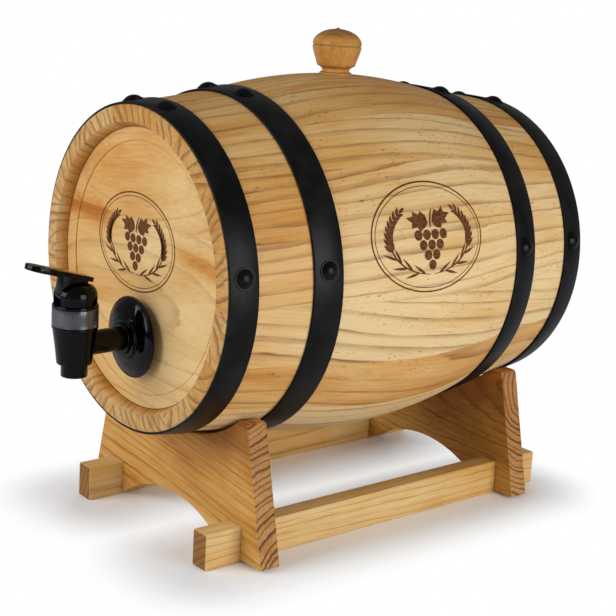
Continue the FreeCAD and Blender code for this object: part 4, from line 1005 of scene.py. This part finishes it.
@dataclass
class HoopSet:
    """Chime and bilge hoops of black steel and their round-headed nails."""

    thickness: float = 1.3
    clearance: float = 0.12
    chime: Point = (132.5, 116.0)  # from the cask's middle
    bilge: Point = (83.8, 66.3)
    edge_round: float = 0.35
    nail_angles: tuple[float, ...] = (8.0, 80.0, 100.0, 172.0)
    head_radius: float = 5.75
    rim_width: float = 0.7
    rim_height: float = 0.5
    rim_round: float = 0.15
    dome_height: float = 2.7
    shank_radius: float = 1.0
    shank_length: float = 8.0
    hoop_finish: PaintedSteel = PaintedSteel("satin_black_painted_steel")
    nail_finish: PaintedSteel = PaintedSteel(
        "black_painted_nail_steel", tint="070708", dust="101011", roughness=0.25, peel=0.5)

    def hoop(self, name: str, outer: float, inner: float) -> Piece:
        """A front hoop between two distances from the cask's middle."""
        near, far = CASK.cone(outer) + self.clearance, CASK.cone(inner) + self.clearance
        ring = CASK.lathe(name, (
            (-outer, near), (-outer, near + self.thickness),
            (-inner, far + self.thickness), (-inner, far)), 180, closed=True)
        return smooth(rounded(ring, self.edge_round, angle=40.0), 40)

    def nail(self) -> Piece:
        """A nail on the Z axis with the underside of its head at Z = 0."""
        dome = self.head_radius - self.rim_width
        rise = self.dome_height - self.rim_height
        sphere = (dome ** 2 + rise ** 2) / (2 * rise)
        half = math.degrees(math.asin(dome / sphere))
        profile = [
            *arc_points((0, self.dome_height - sphere), sphere, 90, 90 - half, 7),
            (dome + self.rim_round, self.rim_height),
            (self.head_radius - self.rim_round, self.rim_height),
            (self.head_radius, self.rim_height - self.rim_round), (self.head_radius, 0.0),
            (self.shank_radius, 0.0), (self.shank_radius, -self.shank_length + 2.0),
            (0.0, -self.shank_length)]
        return smooth(turned("nail", [at(r, 0, z) for r, z in profile], Vector(), UP, 40), 40)

    def place_both(self, front: Piece, node: str, finish: bpy.types.Material) -> None:
        """Place a front piece and its mirrored twin at the rear."""
        rear = copy_of(front, f"steel_rear_{node}", CASK.to_rear)
        place_piece(front, finish, "cask", [f"front_{node}"])
        place_piece(rear, finish, "cask", [f"rear_{node}"])

    def build(self) -> None:
        """Build and place the hoops and nails."""
        steel, nail_steel = self.hoop_finish.make(), self.nail_finish.make()
        slope = math.degrees(math.atan2(CASK.kink_radius - CASK.end_radius, CASK.taper))
        pattern = self.nail()
        for kind, (outer, inner) in (("chime", self.chime), ("bilge", self.bilge)):
            hoop = self.hoop(f"steel_front_{kind}_hoop", outer, inner)
            self.place_both(hoop, f"{kind}_hoop", steel)
            middle = (outer + inner) / 2
            surface = CASK.cone(middle) + self.clearance + self.thickness
            seat = Matrix.Translation(CASK.above(-middle, surface)) @ Matrix.Rotation(
                math.radians(slope), 4, "X")
            nails = joined([
                copy_of(pattern, "nail_copy", CASK.turn(angle - 90) @ seat)
                for angle in self.nail_angles], f"steel_front_{kind}_hoop_nails")
            self.place_both(nails, f"{kind}_hoop_nails", nail_steel)
        discard(pattern)


@dataclass
class Emblem:
    """Grapes, vine leaves and two ears of barley in an oval, burnt into the wood by laser."""

    half_width: float = 40.0
    half_height: float = 29.0
    stem_width: float = 28.5       # half axes of the oval on which the barley grows
    stem_height: float = 19.0
    side_place: Point = (-8.5, 26.5)   # along from the cask's middle and over its axis
    head_place: Point = (-6.5, 13.5)   # across and over the axis
    head_scale: float = 0.94
    lift: float = 0.08             # char over the bare wood
    finish: BurntWood = BurntWood("laser_burnt_oak")

    def flat(self, name: str, points: Sequence[Point]) -> Piece:
        """A flat shape inside a closed outline in the plane Z = 0."""
        return finish_edit(outline(name, [at(x, y, 0) for x, y in points], True, True))

    def slim(self, name: str, length: float, half: float, power: float,
             steps: Sequence[float]) -> Piece:
        """A slim flat shape along X that starts at the origin and is pointed at both ends."""
        side = [(t, half * math.sin(math.pi * (t / length) ** power)) for t in steps]
        return self.flat(name, [(0.0, 0.0), *((x, -y) for x, y in side), (length, 0.0),
                                *side[::-1]])

    def ribbon(self, name: str, path: Sequence[Point], width: float) -> Piece:
        """A stroke along a path that narrows to both ends."""
        left, right = [], []
        for i, (x, y) in enumerate(path):
            before, after = path[max(i - 1, 0)], path[min(i + 1, len(path) - 1)]
            along = Vector((after[0] - before[0], after[1] - before[1])).normalized()
            half = width / 2 * (0.35 + 0.65 * math.sin(math.pi * i / (len(path) - 1)))
            left.append((x - along.y * half, y + along.x * half))
            right.append((x + along.y * half, y - along.x * half))
        return self.flat(name, left + right[::-1])

    def oval(self, inset: float, width: float) -> Piece:
        """A closed oval line inside the emblem's edge."""
        deselect()
        bpy.ops.mesh.primitive_circle_add(vertices=128, radius=MM, fill_type="NOTHING")
        piece = named("line")
        edit(piece)
        wide, high = self.half_width - inset, self.half_height - inset
        bpy.ops.transform.resize(value=(wide, high, 1), center_override=(0, 0, 0))
        bpy.ops.mesh.extrude_region_move()
        bpy.ops.transform.resize(
            value=(1 - width / wide, 1 - width / high, 1), center_override=(0, 0, 0))
        return finish_edit(piece)

    def on_stem(self, turn: float) -> tuple[Point, float]:
        """A place on the right barley stem and the stem's direction there, both from an angle."""
        a = math.radians(turn)
        place = (self.stem_width * math.cos(a), self.stem_height * math.sin(a))
        way = math.atan2(self.stem_height * math.cos(a), -self.stem_width * math.sin(a))
        return place, math.degrees(way)

    def placed(self, pattern: Piece, place: Point, turn: float, scale: float = 1.0) -> Piece:
        """A copy of a pattern that starts at a place and points along a direction."""
        move = Matrix.Translation(at(*place, 0)) @ Matrix.Rotation(math.radians(turn), 4, "Z")
        return copy_of(pattern, "stroke", move @ Matrix.Scale(scale, 4))

    def barley(self) -> list[Piece]:
        """The right ear of barley with its stem and leaves."""
        grain = self.slim("grain_pattern", 4.8, 0.95, 0.8, (0.9, 1.9, 2.9, 3.9))
        blade = self.slim("blade_pattern", 12.0, 0.9, 0.7, (1, 3, 5, 7, 9, 11))
        strokes = [self.ribbon("stem", [self.on_stem(a)[0] for a in range(-87, 46, 3)], 1.0)]
        for number in range(8):
            place, way = self.on_stem(-18 + number * 8.2)
            for side in (-1, 1):
                strokes.append(self.placed(grain, place, way + side * 29, 1.35 - 0.04 * number))
        strokes.append(self.placed(grain, *self.on_stem(46)))
        for turn, side in ((-80, 1), (-71, -1), (-61, 1), (-52, -1), (-42, 1), (-33, -1)):
            place, way = self.on_stem(turn)
            strokes.append(self.placed(blade, place, way + side * 26, 0.85))
        discard(grain, blade)
        return strokes

    def grapes(self) -> list[Piece]:
        """Bunch of grapes under two lobed leaves."""
        deselect()
        bpy.ops.mesh.primitive_circle_add(vertices=24, radius=2.75 * MM, fill_type="NGON")
        berry = named("berry_pattern")
        strokes = [
            self.placed(berry, (6.0 * (number - (3 - row) / 2), 1.8 - 5.3 * row), 0)
            for row in range(4) for number in range(4 - row)]
        strokes.append(self.ribbon("stalk", [(0, 5.2), (0.2, 8.0), (1.0, 11.5), (2.8, 15.0)], 1.5))
        leaf = self.flat("leaf_pattern", [
            (0.0, 0.0), (1.6, -2.6), (4.6, -3.9), (5.6, -2.2), (9.0, -2.9), (8.4, -0.9),
            (12.0, 0.6), (8.6, 1.9), (8.6, 4.4), (5.6, 3.0), (3.8, 4.6), (1.4, 2.4)])
        strokes += [self.placed(leaf, (x, 8.0), turn, 1.25) for x, turn in ((1.4, 14), (-1.2, 166))]
        discard(berry, leaf)
        return strokes

    def drawing(self) -> Piece:
        """The whole drawing, flat on Z = 0, cut small enough to follow the cask."""
        right = joined(self.barley(), "barley")
        left = copy_of(right, "barley_left", Matrix.Scale(-1, 4, ACROSS))
        lines = [self.oval(0.0, 0.85), self.oval(2.4, 0.4)]
        drawing = joined([right, left, *lines, *self.grapes()], "emblem_drawing")
        edit(drawing)
        bpy.ops.mesh.quads_convert_to_tris()
        for way, step, count in ((ALONG, 3.0, 9), (ACROSS, 9.0, 4)):
            for number in range(-count, count + 1):
                bpy.ops.mesh.select_all(action="SELECT")
                bpy.ops.mesh.bisect(plane_co=way * (step * number * MM), plane_no=way)
        bpy.ops.object.mode_set(mode="OBJECT")
        return drawing

    def build(self) -> None:
        """Burn the drawing into the right side and into the front head."""
        material = self.finish.make()
        drawing = self.drawing()
        along, up = self.side_place
        upright = Matrix(((0, 0, 1, 0), (1, 0, 0, 0), (0, 1, 0, 0), (0, 0, 0, 1)))
        outside = at(130, CASK.middle + along, CASK.height + up)
        side = copy_of(drawing, "burnt_side_emblem", Matrix.Translation(outside) @ upright)
        half_section = [(y, CASK.outer(y) + self.lift) for y in range(-60, 61, 4)]
        skin = CASK.lathe("skin", ((-60, 0), *half_section, (60, 0)), 360)
        modified(side, "SHRINKWRAP", target=skin, wrap_method="PROJECT", use_project_x=True,
                 use_negative_direction=True, use_positive_direction=False)
        across, up = self.head_place
        on_head = at(across, CASK.face - self.lift, CASK.height + up)
        head = copy_of(drawing, "burnt_head_emblem", Matrix.Translation(on_head) @ Matrix.Rotation(
            math.radians(90), 4, "X") @ Matrix.Scale(self.head_scale, 4))
        place_piece(side, material, "cask", ())
        place_piece(head, material, "cask", ())
        discard(skin, drawing)


@dataclass
class BungKnob:
    """The turned wooden knob with its plug."""

    radius: float = 14.25
    groove: float = 16.7           # height of the fine groove over the seat
    dome: float = 8.7
    finish: Wood = Wood(
        "turned_knob_wood", Grain.Z, pale="cc9850", middle="b67e38", warm="98602a",
        strength=0.4, ring=5.0, fleck=0.3, end_tint="94683a", end_share=0.7, roughness=0.36)

    def profile(self) -> list[Point]:
        """Half section from the tip down, as radius and height over the seat."""
        groove, radius = self.groove, self.radius
        dome = [
            (radius * math.sin(math.radians(a)),
             groove + 0.6 + self.dome * math.cos(math.radians(a)))
            for a in (*range(8, 79, 10), 86)]
        return [
            (0.0, 26.7), (0.7, 26.45), (1.2, 26.0), *dome,
            (radius, groove + 0.75), (radius - 0.1, groove + 0.5), (radius - 0.6, groove),
            (radius - 0.1, groove - 0.5), (14.2, 15.6), (13.95, 14.2), (13.45, 12.3),
            (12.75, 10.3), (12.05, 8.4), (11.6, 6.9), (11.5, 6.55), (11.15, 6.2), (11.35, 5.85),
            (10.9, 5.0), (9.6, 4.4), (8.5, 3.6), (7.95, 2.9), (7.9, 2.2), (8.3, 1.6), (9.0, 1.15),
            (9.35, 1.0), (9.35, 0.0), (6.0, 0.0), (6.0, -11.0), (7.2, -11.0), (7.2, -13.0),
            (0.0, -13.0)]

    def build(self) -> None:
        """Build and place the knob."""
        seat = CASK.over_seat(0, 0)
        points = [CASK.over_seat(*place) for place in self.profile()]
        knob = smooth(turned("turned_bung_knob", points, seat, UP, 96), 38)

        def to_board(place: Vector) -> Place:
            off = (place - seat) / MM
            return off.x, off.z, off.y

        lay_grain(knob, to_board, Log(depth=22.0, side=15.0, lean=60.0, number=50), 0.2)
        place_piece(knob, self.finish.make(), "bung", ["bung_knob"])


@dataclass
class LeverTap:
    """Black plastic tap: body with spout and shank, bonnet, lever and rosette."""

    reach: float = 40.6            # upright axis in front of the head
    lever_turn: float = 15.0       # lever's front end up, in degrees
    pin_forward: float = 7.2
    pin_height: float = 28.0       # over the shank axis
    pin_hole: float = 1.53
    shank_radius: float = 6.6
    shank_bore: float = 4.2
    shank_back: float = 23.0       # behind the face: head, gaskets and lock nut
    collar: Place = (9.0, 12.9, 11.4)  # radius, and where it starts and ends before the face
    band: Place = (11.9, 11.0, 21.0)   # bonnet's band: inside radius, low and high edge
    flute: Place = (12.15, 11.3, 20.7)     # the same of the band's fluted strip
    flute_sink: Point = (0.05, 0.06)   # edge and depth of a flute
    flutes: int = 96               # around the band
    stem_travel: float = 3.8
    finish: Moulded = Moulded(
        "glossy_black_abs", tint="020202", flow="050506", roughness=0.13, specular=0.17)
    plate: Moulded = Moulded(
        "polished_black_abs", tint="020202", flow="050506", roughness=0.06, specular=0.2)
    trim: BareMetal = BareMetal("smoked_chrome_trim", "6c6c70", "56565a", 0.13)
    wire: BareMetal = BareMetal("spring_steel_wire", "c9c9cb", "a9a9ad", 0.25)

    @property
    def axis(self) -> float:
        """Where the upright axis is along Y."""
        return CASK.face - self.reach

    @property
    def level(self) -> float:
        """Height of the shank axis."""
        return CASK.height - CASK.tap_drop

    def by_axis(self, x: float, y: float, z: float) -> Vector:
        """A place from the upright axis and the height over the shank axis."""
        return at(x, self.axis + y, self.level + z)

    def by_face(self, across: float, forward: float) -> Vector:
        """A place over the shank axis, in front of the head's face."""
        return at(0, CASK.face - forward, self.level + across)

    def by_pin(self, forward: float, height: float, across: float = 0.0) -> Vector:
        """A place from the lever's pin, with the lever level."""
        return self.by_axis(across, -self.pin_forward - forward, self.pin_height + height)

    def lathe(self, name: str, profile: Sequence[Point], steps: int = 96) -> Piece:
        """Turn a closed profile of radii and heights about the upright axis."""
        points = [self.by_axis(r, 0, z) for r, z in profile]
        return turned(name, points, at(0, self.axis, 0), UP, steps, closed=True)

    def body(self) -> Piece:
        """Body with chamber, spout and hollow shank."""
        body = self.lathe("abs_tap_body", [
            (4.4, -16.9), (6.65, -16.9), (7.0, -16.75), (7.15, -16.4), (7.15, -10.0),
            (8.5, -10.0), (9.05, -9.9), (9.4, -9.6), (9.55, -9.1), (9.95, -5.0), (10.6, 0.4),
            (11.25, 5.0), (11.9, 9.5), (10.2, 9.5), (10.2, 19.9), (7.8, 19.9), (7.8, -4.5),
            (4.4, -4.5)])
        end, (radius, front, rear) = self.by_face(0, -self.shank_back), self.collar
        shank = rod("shank", self.shank_radius, self.by_axis(0, 8.2, 0), end, 64)
        collar = rod("collar", radius, self.by_face(0, front), self.by_face(0, rear), 64)
        combined(body, shank, "UNION")
        combined(body, rounded(collar, 0.35), "UNION")
        bored(body, self.shank_bore, self.by_axis(0, 0, 0), end + 5 * MM * ALONG)
        return smooth(body, 32)

    def bonnet(self) -> Piece:
        """Bonnet with its fluted band and two domed cheeks."""
        bonnet = self.lathe("abs_tap_bonnet", [
            (2.28, 33.7), *arc_points((5.1, 27.3), 6.4, 90, 0, 9), (11.5, 22.9), (11.35, 22.6),
            (11.8, 22.5), (12.1, 22.35), (12.25, 22.0), (12.25, 21.3), (12.05, 21.15),
            (12.05, 20.9), (12.25, 20.75), (12.25, 11.25), (12.05, 11.1), (12.05, 10.85),
            (12.25, 10.7), (12.25, 9.95), (12.1, 9.6), (11.8, 9.5), (10.3, 9.5), (10.3, 20.0),
            (2.28, 20.0)], 2 * self.flutes)
        self.fluted(bonnet)
        combined(bonnet, block("slot", self.by_axis(-3.6, -13, 22.5), self.by_axis(3.6, 13, 36.5)))
        bored(bonnet, self.pin_hole, self.by_pin(0, 0, -12), self.by_pin(0, 0, 7.6), 32)
        return smooth(rounded(bonnet, 0.25, 2, 50), 40)

    def on_band(self, place: Vector, span: Place) -> bool:
        """Whether a place is outside a radius and between two heights over the shank axis."""
        off = place / MM - Vector((0, self.axis, self.level))
        return math.hypot(off.x, off.y) > span[0] and span[1] < off.z < span[2]

    def fluted(self, bonnet: Piece) -> None:
        """Sink every second face of the band, which leaves fine upright flutes."""
        step = math.pi / self.flutes

        def in_flute(place: Vector) -> bool:
            turn = math.atan2(place.y - self.axis * MM, place.x) % math.tau
            return self.on_band(place, self.flute) and int(turn / step) % 2 == 0

        edge, depth = self.flute_sink
        edit(bonnet)
        choose_faces(bonnet, in_flute)
        bpy.ops.mesh.inset(thickness=edge * MM, depth=-depth * MM, use_individual=True)
        bpy.ops.object.mode_set(mode="OBJECT")

    def trimmed(self, bonnet: Piece) -> None:
        """Give the fluted band its plated trim."""
        bonnet.data.materials.append(self.trim.make())
        for face in bonnet.data.polygons:
            if self.on_band(face.center, self.band):
                face.material_index = 1

    def lever(self) -> Piece:
        """Lever with thumb pad, block, hub and link webs, tilted to its place at rest."""
        on, half, front = self.by_pin, 6.75, 25.3
        nose = arc_points((front - half, 0), half, -90, 90, 20) + [(8.3, half), (8.3, -half)]
        lever = drawn_out("abs_tap_lever", [on(x, 9.2, y) for x, y in nose], 3.1 * MM * UP)
        edit(lever)
        choose_faces(lever, lambda middle: middle.z > on(0, 12.2).z)
        bpy.ops.mesh.inset(thickness=1.1 * MM, depth=0.0)
        bpy.ops.mesh.inset(thickness=0.9 * MM, depth=-0.35 * MM)
        rounded(finish_edit(lever), 0.5, 3, 40)
        plate = rounded(block("plate", on(18.55, 9.8, -5.0), on(-12.6, 12.3, 5.0)), 0.35, 2, 40)
        combined(lever, plate, "UNION")
        half = 3.25
        web = [(4.7, 10.2), (3.5, 0.0), (-0.6, -1.75), (-7.45, -2.9), (-10.35, 0.0), (-11.0, 10.2)]
        webs = rounded(drawn_out(
            "webs", [on(x, z, -half) for x, z in web], 2 * half * MM * ACROSS), 0.3, 2, 40)
        hub = rounded(rod("hub", 3.5, on(0, 0, -half), on(0, 0, half)), 0.25, 2, 40)
        combined(webs, hub, "UNION")
        combined(webs, block("gap", on(-2.1, -6.4, -1.95), on(-14.0, 9.3, 1.95)))
        for side in (-1, 1):
            triangle = [on(x, z, side * (half - 0.45))
                        for x, z in ((-1.2, 8.9), (-9.2, 8.9), (-2.2, 2.6))]
            combined(webs, drawn_out("gusset", triangle, side * 2 * MM * ACROSS))
        combined(lever, webs, "UNION")
        for forward, radius in ((0.0, 1.56), (-7.454, 1.43)):
            bored(lever, radius, on(forward, 0, -8), on(forward, 0, 8), 32)
        lever.data.transform(turn_about(on(0, 0), ACROSS, -self.lever_turn))
        return smooth(lever, 35)

    def rosette(self) -> Piece:
        """Thin-rimmed domed plate around the shank, with a bead inside its rim."""
        profile = [(6.68, 5.1), (22.25, 5.1), (22.5, 5.3), (22.5, 5.85), (22.3, 6.15),
                   (21.9, 6.2), (21.7, 6.15), (21.5, 6.35), (21.2, 6.75), (20.8, 6.95),
                   (20.5, 6.95), (20.3, 7.15), (18.9, 7.85), (17.2, 8.55), (15.4, 9.1),
                   (13.7, 9.5), (12.3, 9.7), (12.0, 9.9), (12.0, 10.85), (11.85, 11.2),
                   (11.4, 11.4), (6.68, 11.4)]
        points = [self.by_face(*place) for place in profile]
        return smooth(turned(
            "abs_tap_rosette", points, self.by_face(0, 0), ALONG, 128, closed=True), 38)

    def build(self) -> None:
        """Build and place the tap's visible pieces."""
        black, polished = self.finish.make(), self.plate.make()
        parts = {"body": self.body(), "bonnet": self.bonnet(), "lever": self.lever(),
                 "rosette": self.rosette()}
        for part, piece in parts.items():
            place_piece(piece, polished if part == "rosette" else black,
                        "lever" if part == "lever" else "cask", [f"tap_{part}"])
        self.trimmed(parts["bonnet"])
        dress_node("tap_lock_nut", black)
        self.spring()

    def spring(self) -> None:
        """Spring over the stem, which the rising stem presses against the bonnet."""
        spring = copy_of(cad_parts["tap_spring"], "steel_tap_spring", Matrix.Identity(4))
        edit(spring)
        smooth(finish_edit(spring), 60)
        place_piece(spring, self.wire.make(), "cask", ["tap_spring"])
        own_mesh(spring)


@dataclass
class Stand:
    """Two cradle boards across the cask and two rails along it."""

    board: float = 13.0
    front_inner: float = -87.0     # boards' far and near faces, from the cask's middle
    rear_outer: float = 114.0
    saddle_gap: float = 0.3
    ear_angle: float = 36.9
    ear_width: float = 8.0
    flare: float = 18.0
    lift: float = 1.5
    arch_half: float = 51.0
    arch_rise: float = 17.5
    rail_spacing: float = 106.8
    rail_width: float = 12.0
    rail_height: float = 20.7
    overhang: float = 23.0
    notch_gap: float = 0.1
    cradle_grain: float = 45.0     # height of the middle of a cradle board's figure
    rail_grain: float = 10.0       # the same of a rail
    cradle_finish: Wood = Wood(
        "varnished_cradle_pine", Grain.X, pale="dcae62", middle="ca9246", warm="a66628",
        late="74461a", ring=3.6, strength=0.85, fleck=0.3, end_tint="b88a58", end_rings=1.0)
    rail_finish: Wood = Wood(
        "varnished_rail_pine", Grain.Y, pale="e9c88e", middle="dcae66", warm="c0823c",
        late="935c26", ring=4.0, strength=0.75, fleck=0.2, end_tint="84561c", end_share=0.85,
        end_rings=0.6)

    def cradle(self, name: str, low: float) -> Piece:
        """A cradle board whose front face is at a distance from the cask's middle."""
        radii = [self.saddle_gap + CASK.outer(y)
                 for y in (self.front_inner, self.rear_outer - self.board)]
        drop = min(radii) * math.cos(math.radians(self.ear_angle))
        radius = radii[0] if low < 0 else radii[1]
        ear_in = math.sqrt(radius ** 2 - drop ** 2)
        ear_out = ear_in + self.ear_width
        foot, top, lift = ear_out + self.flare, CASK.height - drop, self.lift
        slope = self.flare / (top - lift)
        arch = (self.arch_half ** 2 + self.arch_rise ** 2) / (2 * self.arch_rise)
        arch_turn = math.degrees(math.asin(self.arch_half / arch))
        saddle_turn = math.degrees(math.asin(ear_in / radius))
        notch_in = self.rail_spacing / 2 - self.notch_gap
        notch_out = notch_in + self.rail_width + 2 * self.notch_gap
        right = [
            *arc_points((0, lift + self.arch_rise - arch), arch, 90, 90 - arch_turn, 16),
            (notch_in, lift), (notch_in, self.rail_height), (notch_out, self.rail_height),
            (notch_out, lift), (foot - 1.2, lift), (foot - 0.3, lift + 0.5),
            (foot - slope * 2.0, lift + 2.0), (ear_out + slope * 3.0, top - 3.0),
            (ear_out - 0.1, top - 1.0), (ear_out - 0.9, top - 0.2), (ear_out - 2.6, top),
            *arc_points((0, CASK.height), radius, -90 + saddle_turn, -90, 28)]
        ring = right + [(-x, z) for x, z in right[-2:0:-1]]
        piece = drawn_out(name, [at(x, CASK.middle + low, z) for x, z in ring],
                          self.board * MM * ALONG)
        return smooth(rounded(piece, 0.7, 3, 40), 35)

    def rail(self, name: str, centre: float) -> Piece:
        """One rail with eased edges."""
        half = self.rail_width / 2
        start = CASK.middle + self.front_inner - self.board - self.overhang
        end = CASK.middle + self.rear_outer + self.overhang
        piece = block(name, at(centre - half, start, 0), at(centre + half, end, self.rail_height))
        return smooth(rounded(piece, 1.0, 3, 40), 35)

    def build(self) -> None:
        """Build and place the stand."""
        wood = self.cradle_finish.make()
        for end, high, tone, log in (
            ("front", self.front_inner, 0.1, Log(depth=24.0, side=-46.0, drift=-110.0, number=60)),
            ("rear", self.rear_outer, 0.5,
             Log(depth=30.0, side=18.0, lean=120.0, drift=40.0, number=61)),
        ):
            piece = self.cradle(f"pine_{end}_cradle", high - self.board)
            face = CASK.middle + (high - self.board)
            # Painted shadow of the cask: the top of each cradle board, under the cask, is darker.
            shade = Streak(across=24.0, width=17.0, strength=1.5)
            lay_grain(piece, lambda p: (
                p.z / MM - self.cradle_grain, p.x / MM, face - p.y / MM), log, tone, (shade,))
            place_piece(piece, wood, "stand", [f"{end}_cradle"])
        wood = self.rail_finish.make()
        middle = (self.rail_spacing + self.rail_width) / 2
        for hand, centre, tone, log in (
            ("left", -middle, 0.5, Log(depth=26.0, side=14.0, drift=20.0, number=62)),
            ("right", middle, 0.2, Log(depth=34.0, side=58.0, lean=10.0, number=63)),
        ):
            piece = self.rail(f"pine_{hand}_rail", centre)
            lay_grain(piece, lambda p: (
                p.z / MM - self.rail_grain, p.y / MM, p.x / MM - centre), log, tone)
            place_piece(piece, wood, "stand", [f"{hand}_rail"])


# --- Studio -------------------------------------------------------------------------------
def bearing(azimuth: float, elevation: float) -> Vector:
    """Direction with a bearing, 0 in front of the tap end and 90 on the right, and a height."""
    a, e = math.radians(azimuth), math.radians(elevation)
    return Vector((math.sin(a) * math.cos(e), -math.cos(a) * math.cos(e), math.sin(e)))


@dataclass
class Studio:
    """Camera, pale floor, soft lamps and background."""

    lens: float = 80.59
    azimuth: float = 49.60
    elevation: float = 13.57
    roll: float = 3.42
    distance: float = 838.21
    target: Place = (-7.32, 29.28, 115.18)
    lit: Place = (0.0, 30.0, 120.0)     # what the lamps look at
    ambient: float = 0.2
    floor_size: float = 24.0            # metres
    paper: Paper = Paper("matt_white_paper")

    def camera(self) -> None:
        """Create the camera."""
        back, roll = bearing(self.azimuth, self.elevation), math.radians(self.roll)
        right = (-back).cross(UP).normalized()
        up = right.cross(-back)
        axis_x = right * math.cos(roll) + up * math.sin(roll)
        axis_y = -right * math.sin(roll) + up * math.cos(roll)
        data = bpy.data.cameras.new("studio_camera")
        data.lens, data.sensor_width, data.sensor_fit = self.lens, 36.0, "HORIZONTAL"
        data.clip_end = 20.0
        camera = bpy.data.objects.new("studio_camera", data)
        camera.matrix_world = Matrix.Translation(at(*self.target) + back * self.distance * MM) @ (
            Matrix((axis_x, axis_y, back)).transposed().to_4x4())
        bpy.context.scene.collection.objects.link(camera)
        bpy.context.scene.camera = camera

    def lamp(
        self, name: str, azimuth: float, elevation: float, distance: float, size: Point,
        power: float, mirrored: bool = True,
    ) -> None:
        """Hang a soft rectangular lamp that looks at the cask.

        Args:
            name: the lamp's name.
            azimuth: its bearing in degrees.
            elevation: its height over the cask's middle, in degrees.
            distance: from the cask's middle in metres.
            size: width and height in metres.
            power: in watts.
            mirrored: whether glossy surfaces show it.
        """
        way = bearing(azimuth, elevation)
        data = bpy.data.lights.new(name, "AREA")
        data.shape, data.energy = "RECTANGLE", power
        data.size, data.size_y = size
        lamp = bpy.data.objects.new(name, data)
        lamp.visible_glossy = mirrored
        lamp.location = at(*self.lit) + way * distance
        lamp.rotation_euler = way.to_track_quat("Z", "Y").to_euler()
        bpy.context.scene.collection.objects.link(lamp)

    def floor(self) -> None:
        """Lay the pale floor."""
        deselect()
        bpy.ops.mesh.primitive_plane_add(size=self.floor_size, location=(0, 0, 0))
        floor = named("studio_floor")
        floor.data.materials.append(self.paper.make())

    def world(self) -> None:
        """White behind the object, and a plain soft light from all around on it."""
        world = bpy.data.worlds.new("studio_white")
        world.use_nodes = True
        world.node_tree.nodes.clear()
        graph = Graph(world.node_tree)
        seen = graph.add("LightPath", (), "Is Camera Ray")
        strength = graph.add("MapRange", (seen, 0, 1, self.ambient, 1))
        graph.add("OutputWorld", (graph.add("Background", ("ffffff", strength)),))
        bpy.context.scene.world = world

    def build(self) -> None:
        """Set the whole studio."""
        bpy.context.scene.view_settings.view_transform = "Standard"
        self.camera()
        self.world()
        self.floor()
        self.lamp("right_softbox", 98, 6, 1.15, (0.75, 0.8), 9.9)
        self.lamp("left_softbox", -14, 20, 1.25, (0.9, 0.7), 9.6)
        self.lamp("rear_softbox", 222, 16, 1.7, (0.9, 0.8), 8.0, mirrored=False)


def small_parts() -> None:
    """Dress the CAD nodes that keep their shape."""
    for finish, names in (
        (Moulded("planed_beech_dowel", "d8b483", "c79a66", 0.6, 0.3, 2.0, 0.05),
         ("front_head_dowels", "rear_head_dowels")),
        (Moulded("translucent_silicone", "cfcfca", "bdbdb6", 0.5, 0.45, 2.5),
         ("bung_sleeve", "tap_seat_cup", "tap_outer_gasket", "tap_inner_gasket")),
        (Moulded("white_acetal", "e2e2dd", "d6d6d0", 0.35, 0.5, 3.0), ("tap_stem",)),
        (BareMetal("drawn_stainless_steel", "c9c9cb", "a9a9ad", 0.25),
         ("tap_lever_pin", "tap_link_pin")),
        (BareMetal("zinc_plated_steel", "c2bfae", "a29f90", 0.36), ("stand_screws",)),
    ):
        material = finish.make()
        for name in names:
            dress_node(name, material)


def main() -> None:
    """Build everything around the frame."""
    logging.basicConfig(level=logging.INFO, format="%(message)s")
    for part in (Studio, StaveRing, Heads, HoopSet, Emblem, BungKnob, LeverTap, Stand):
        part().build()
    small_parts()
    deselect()


if __name__ == "__main__":
    main()
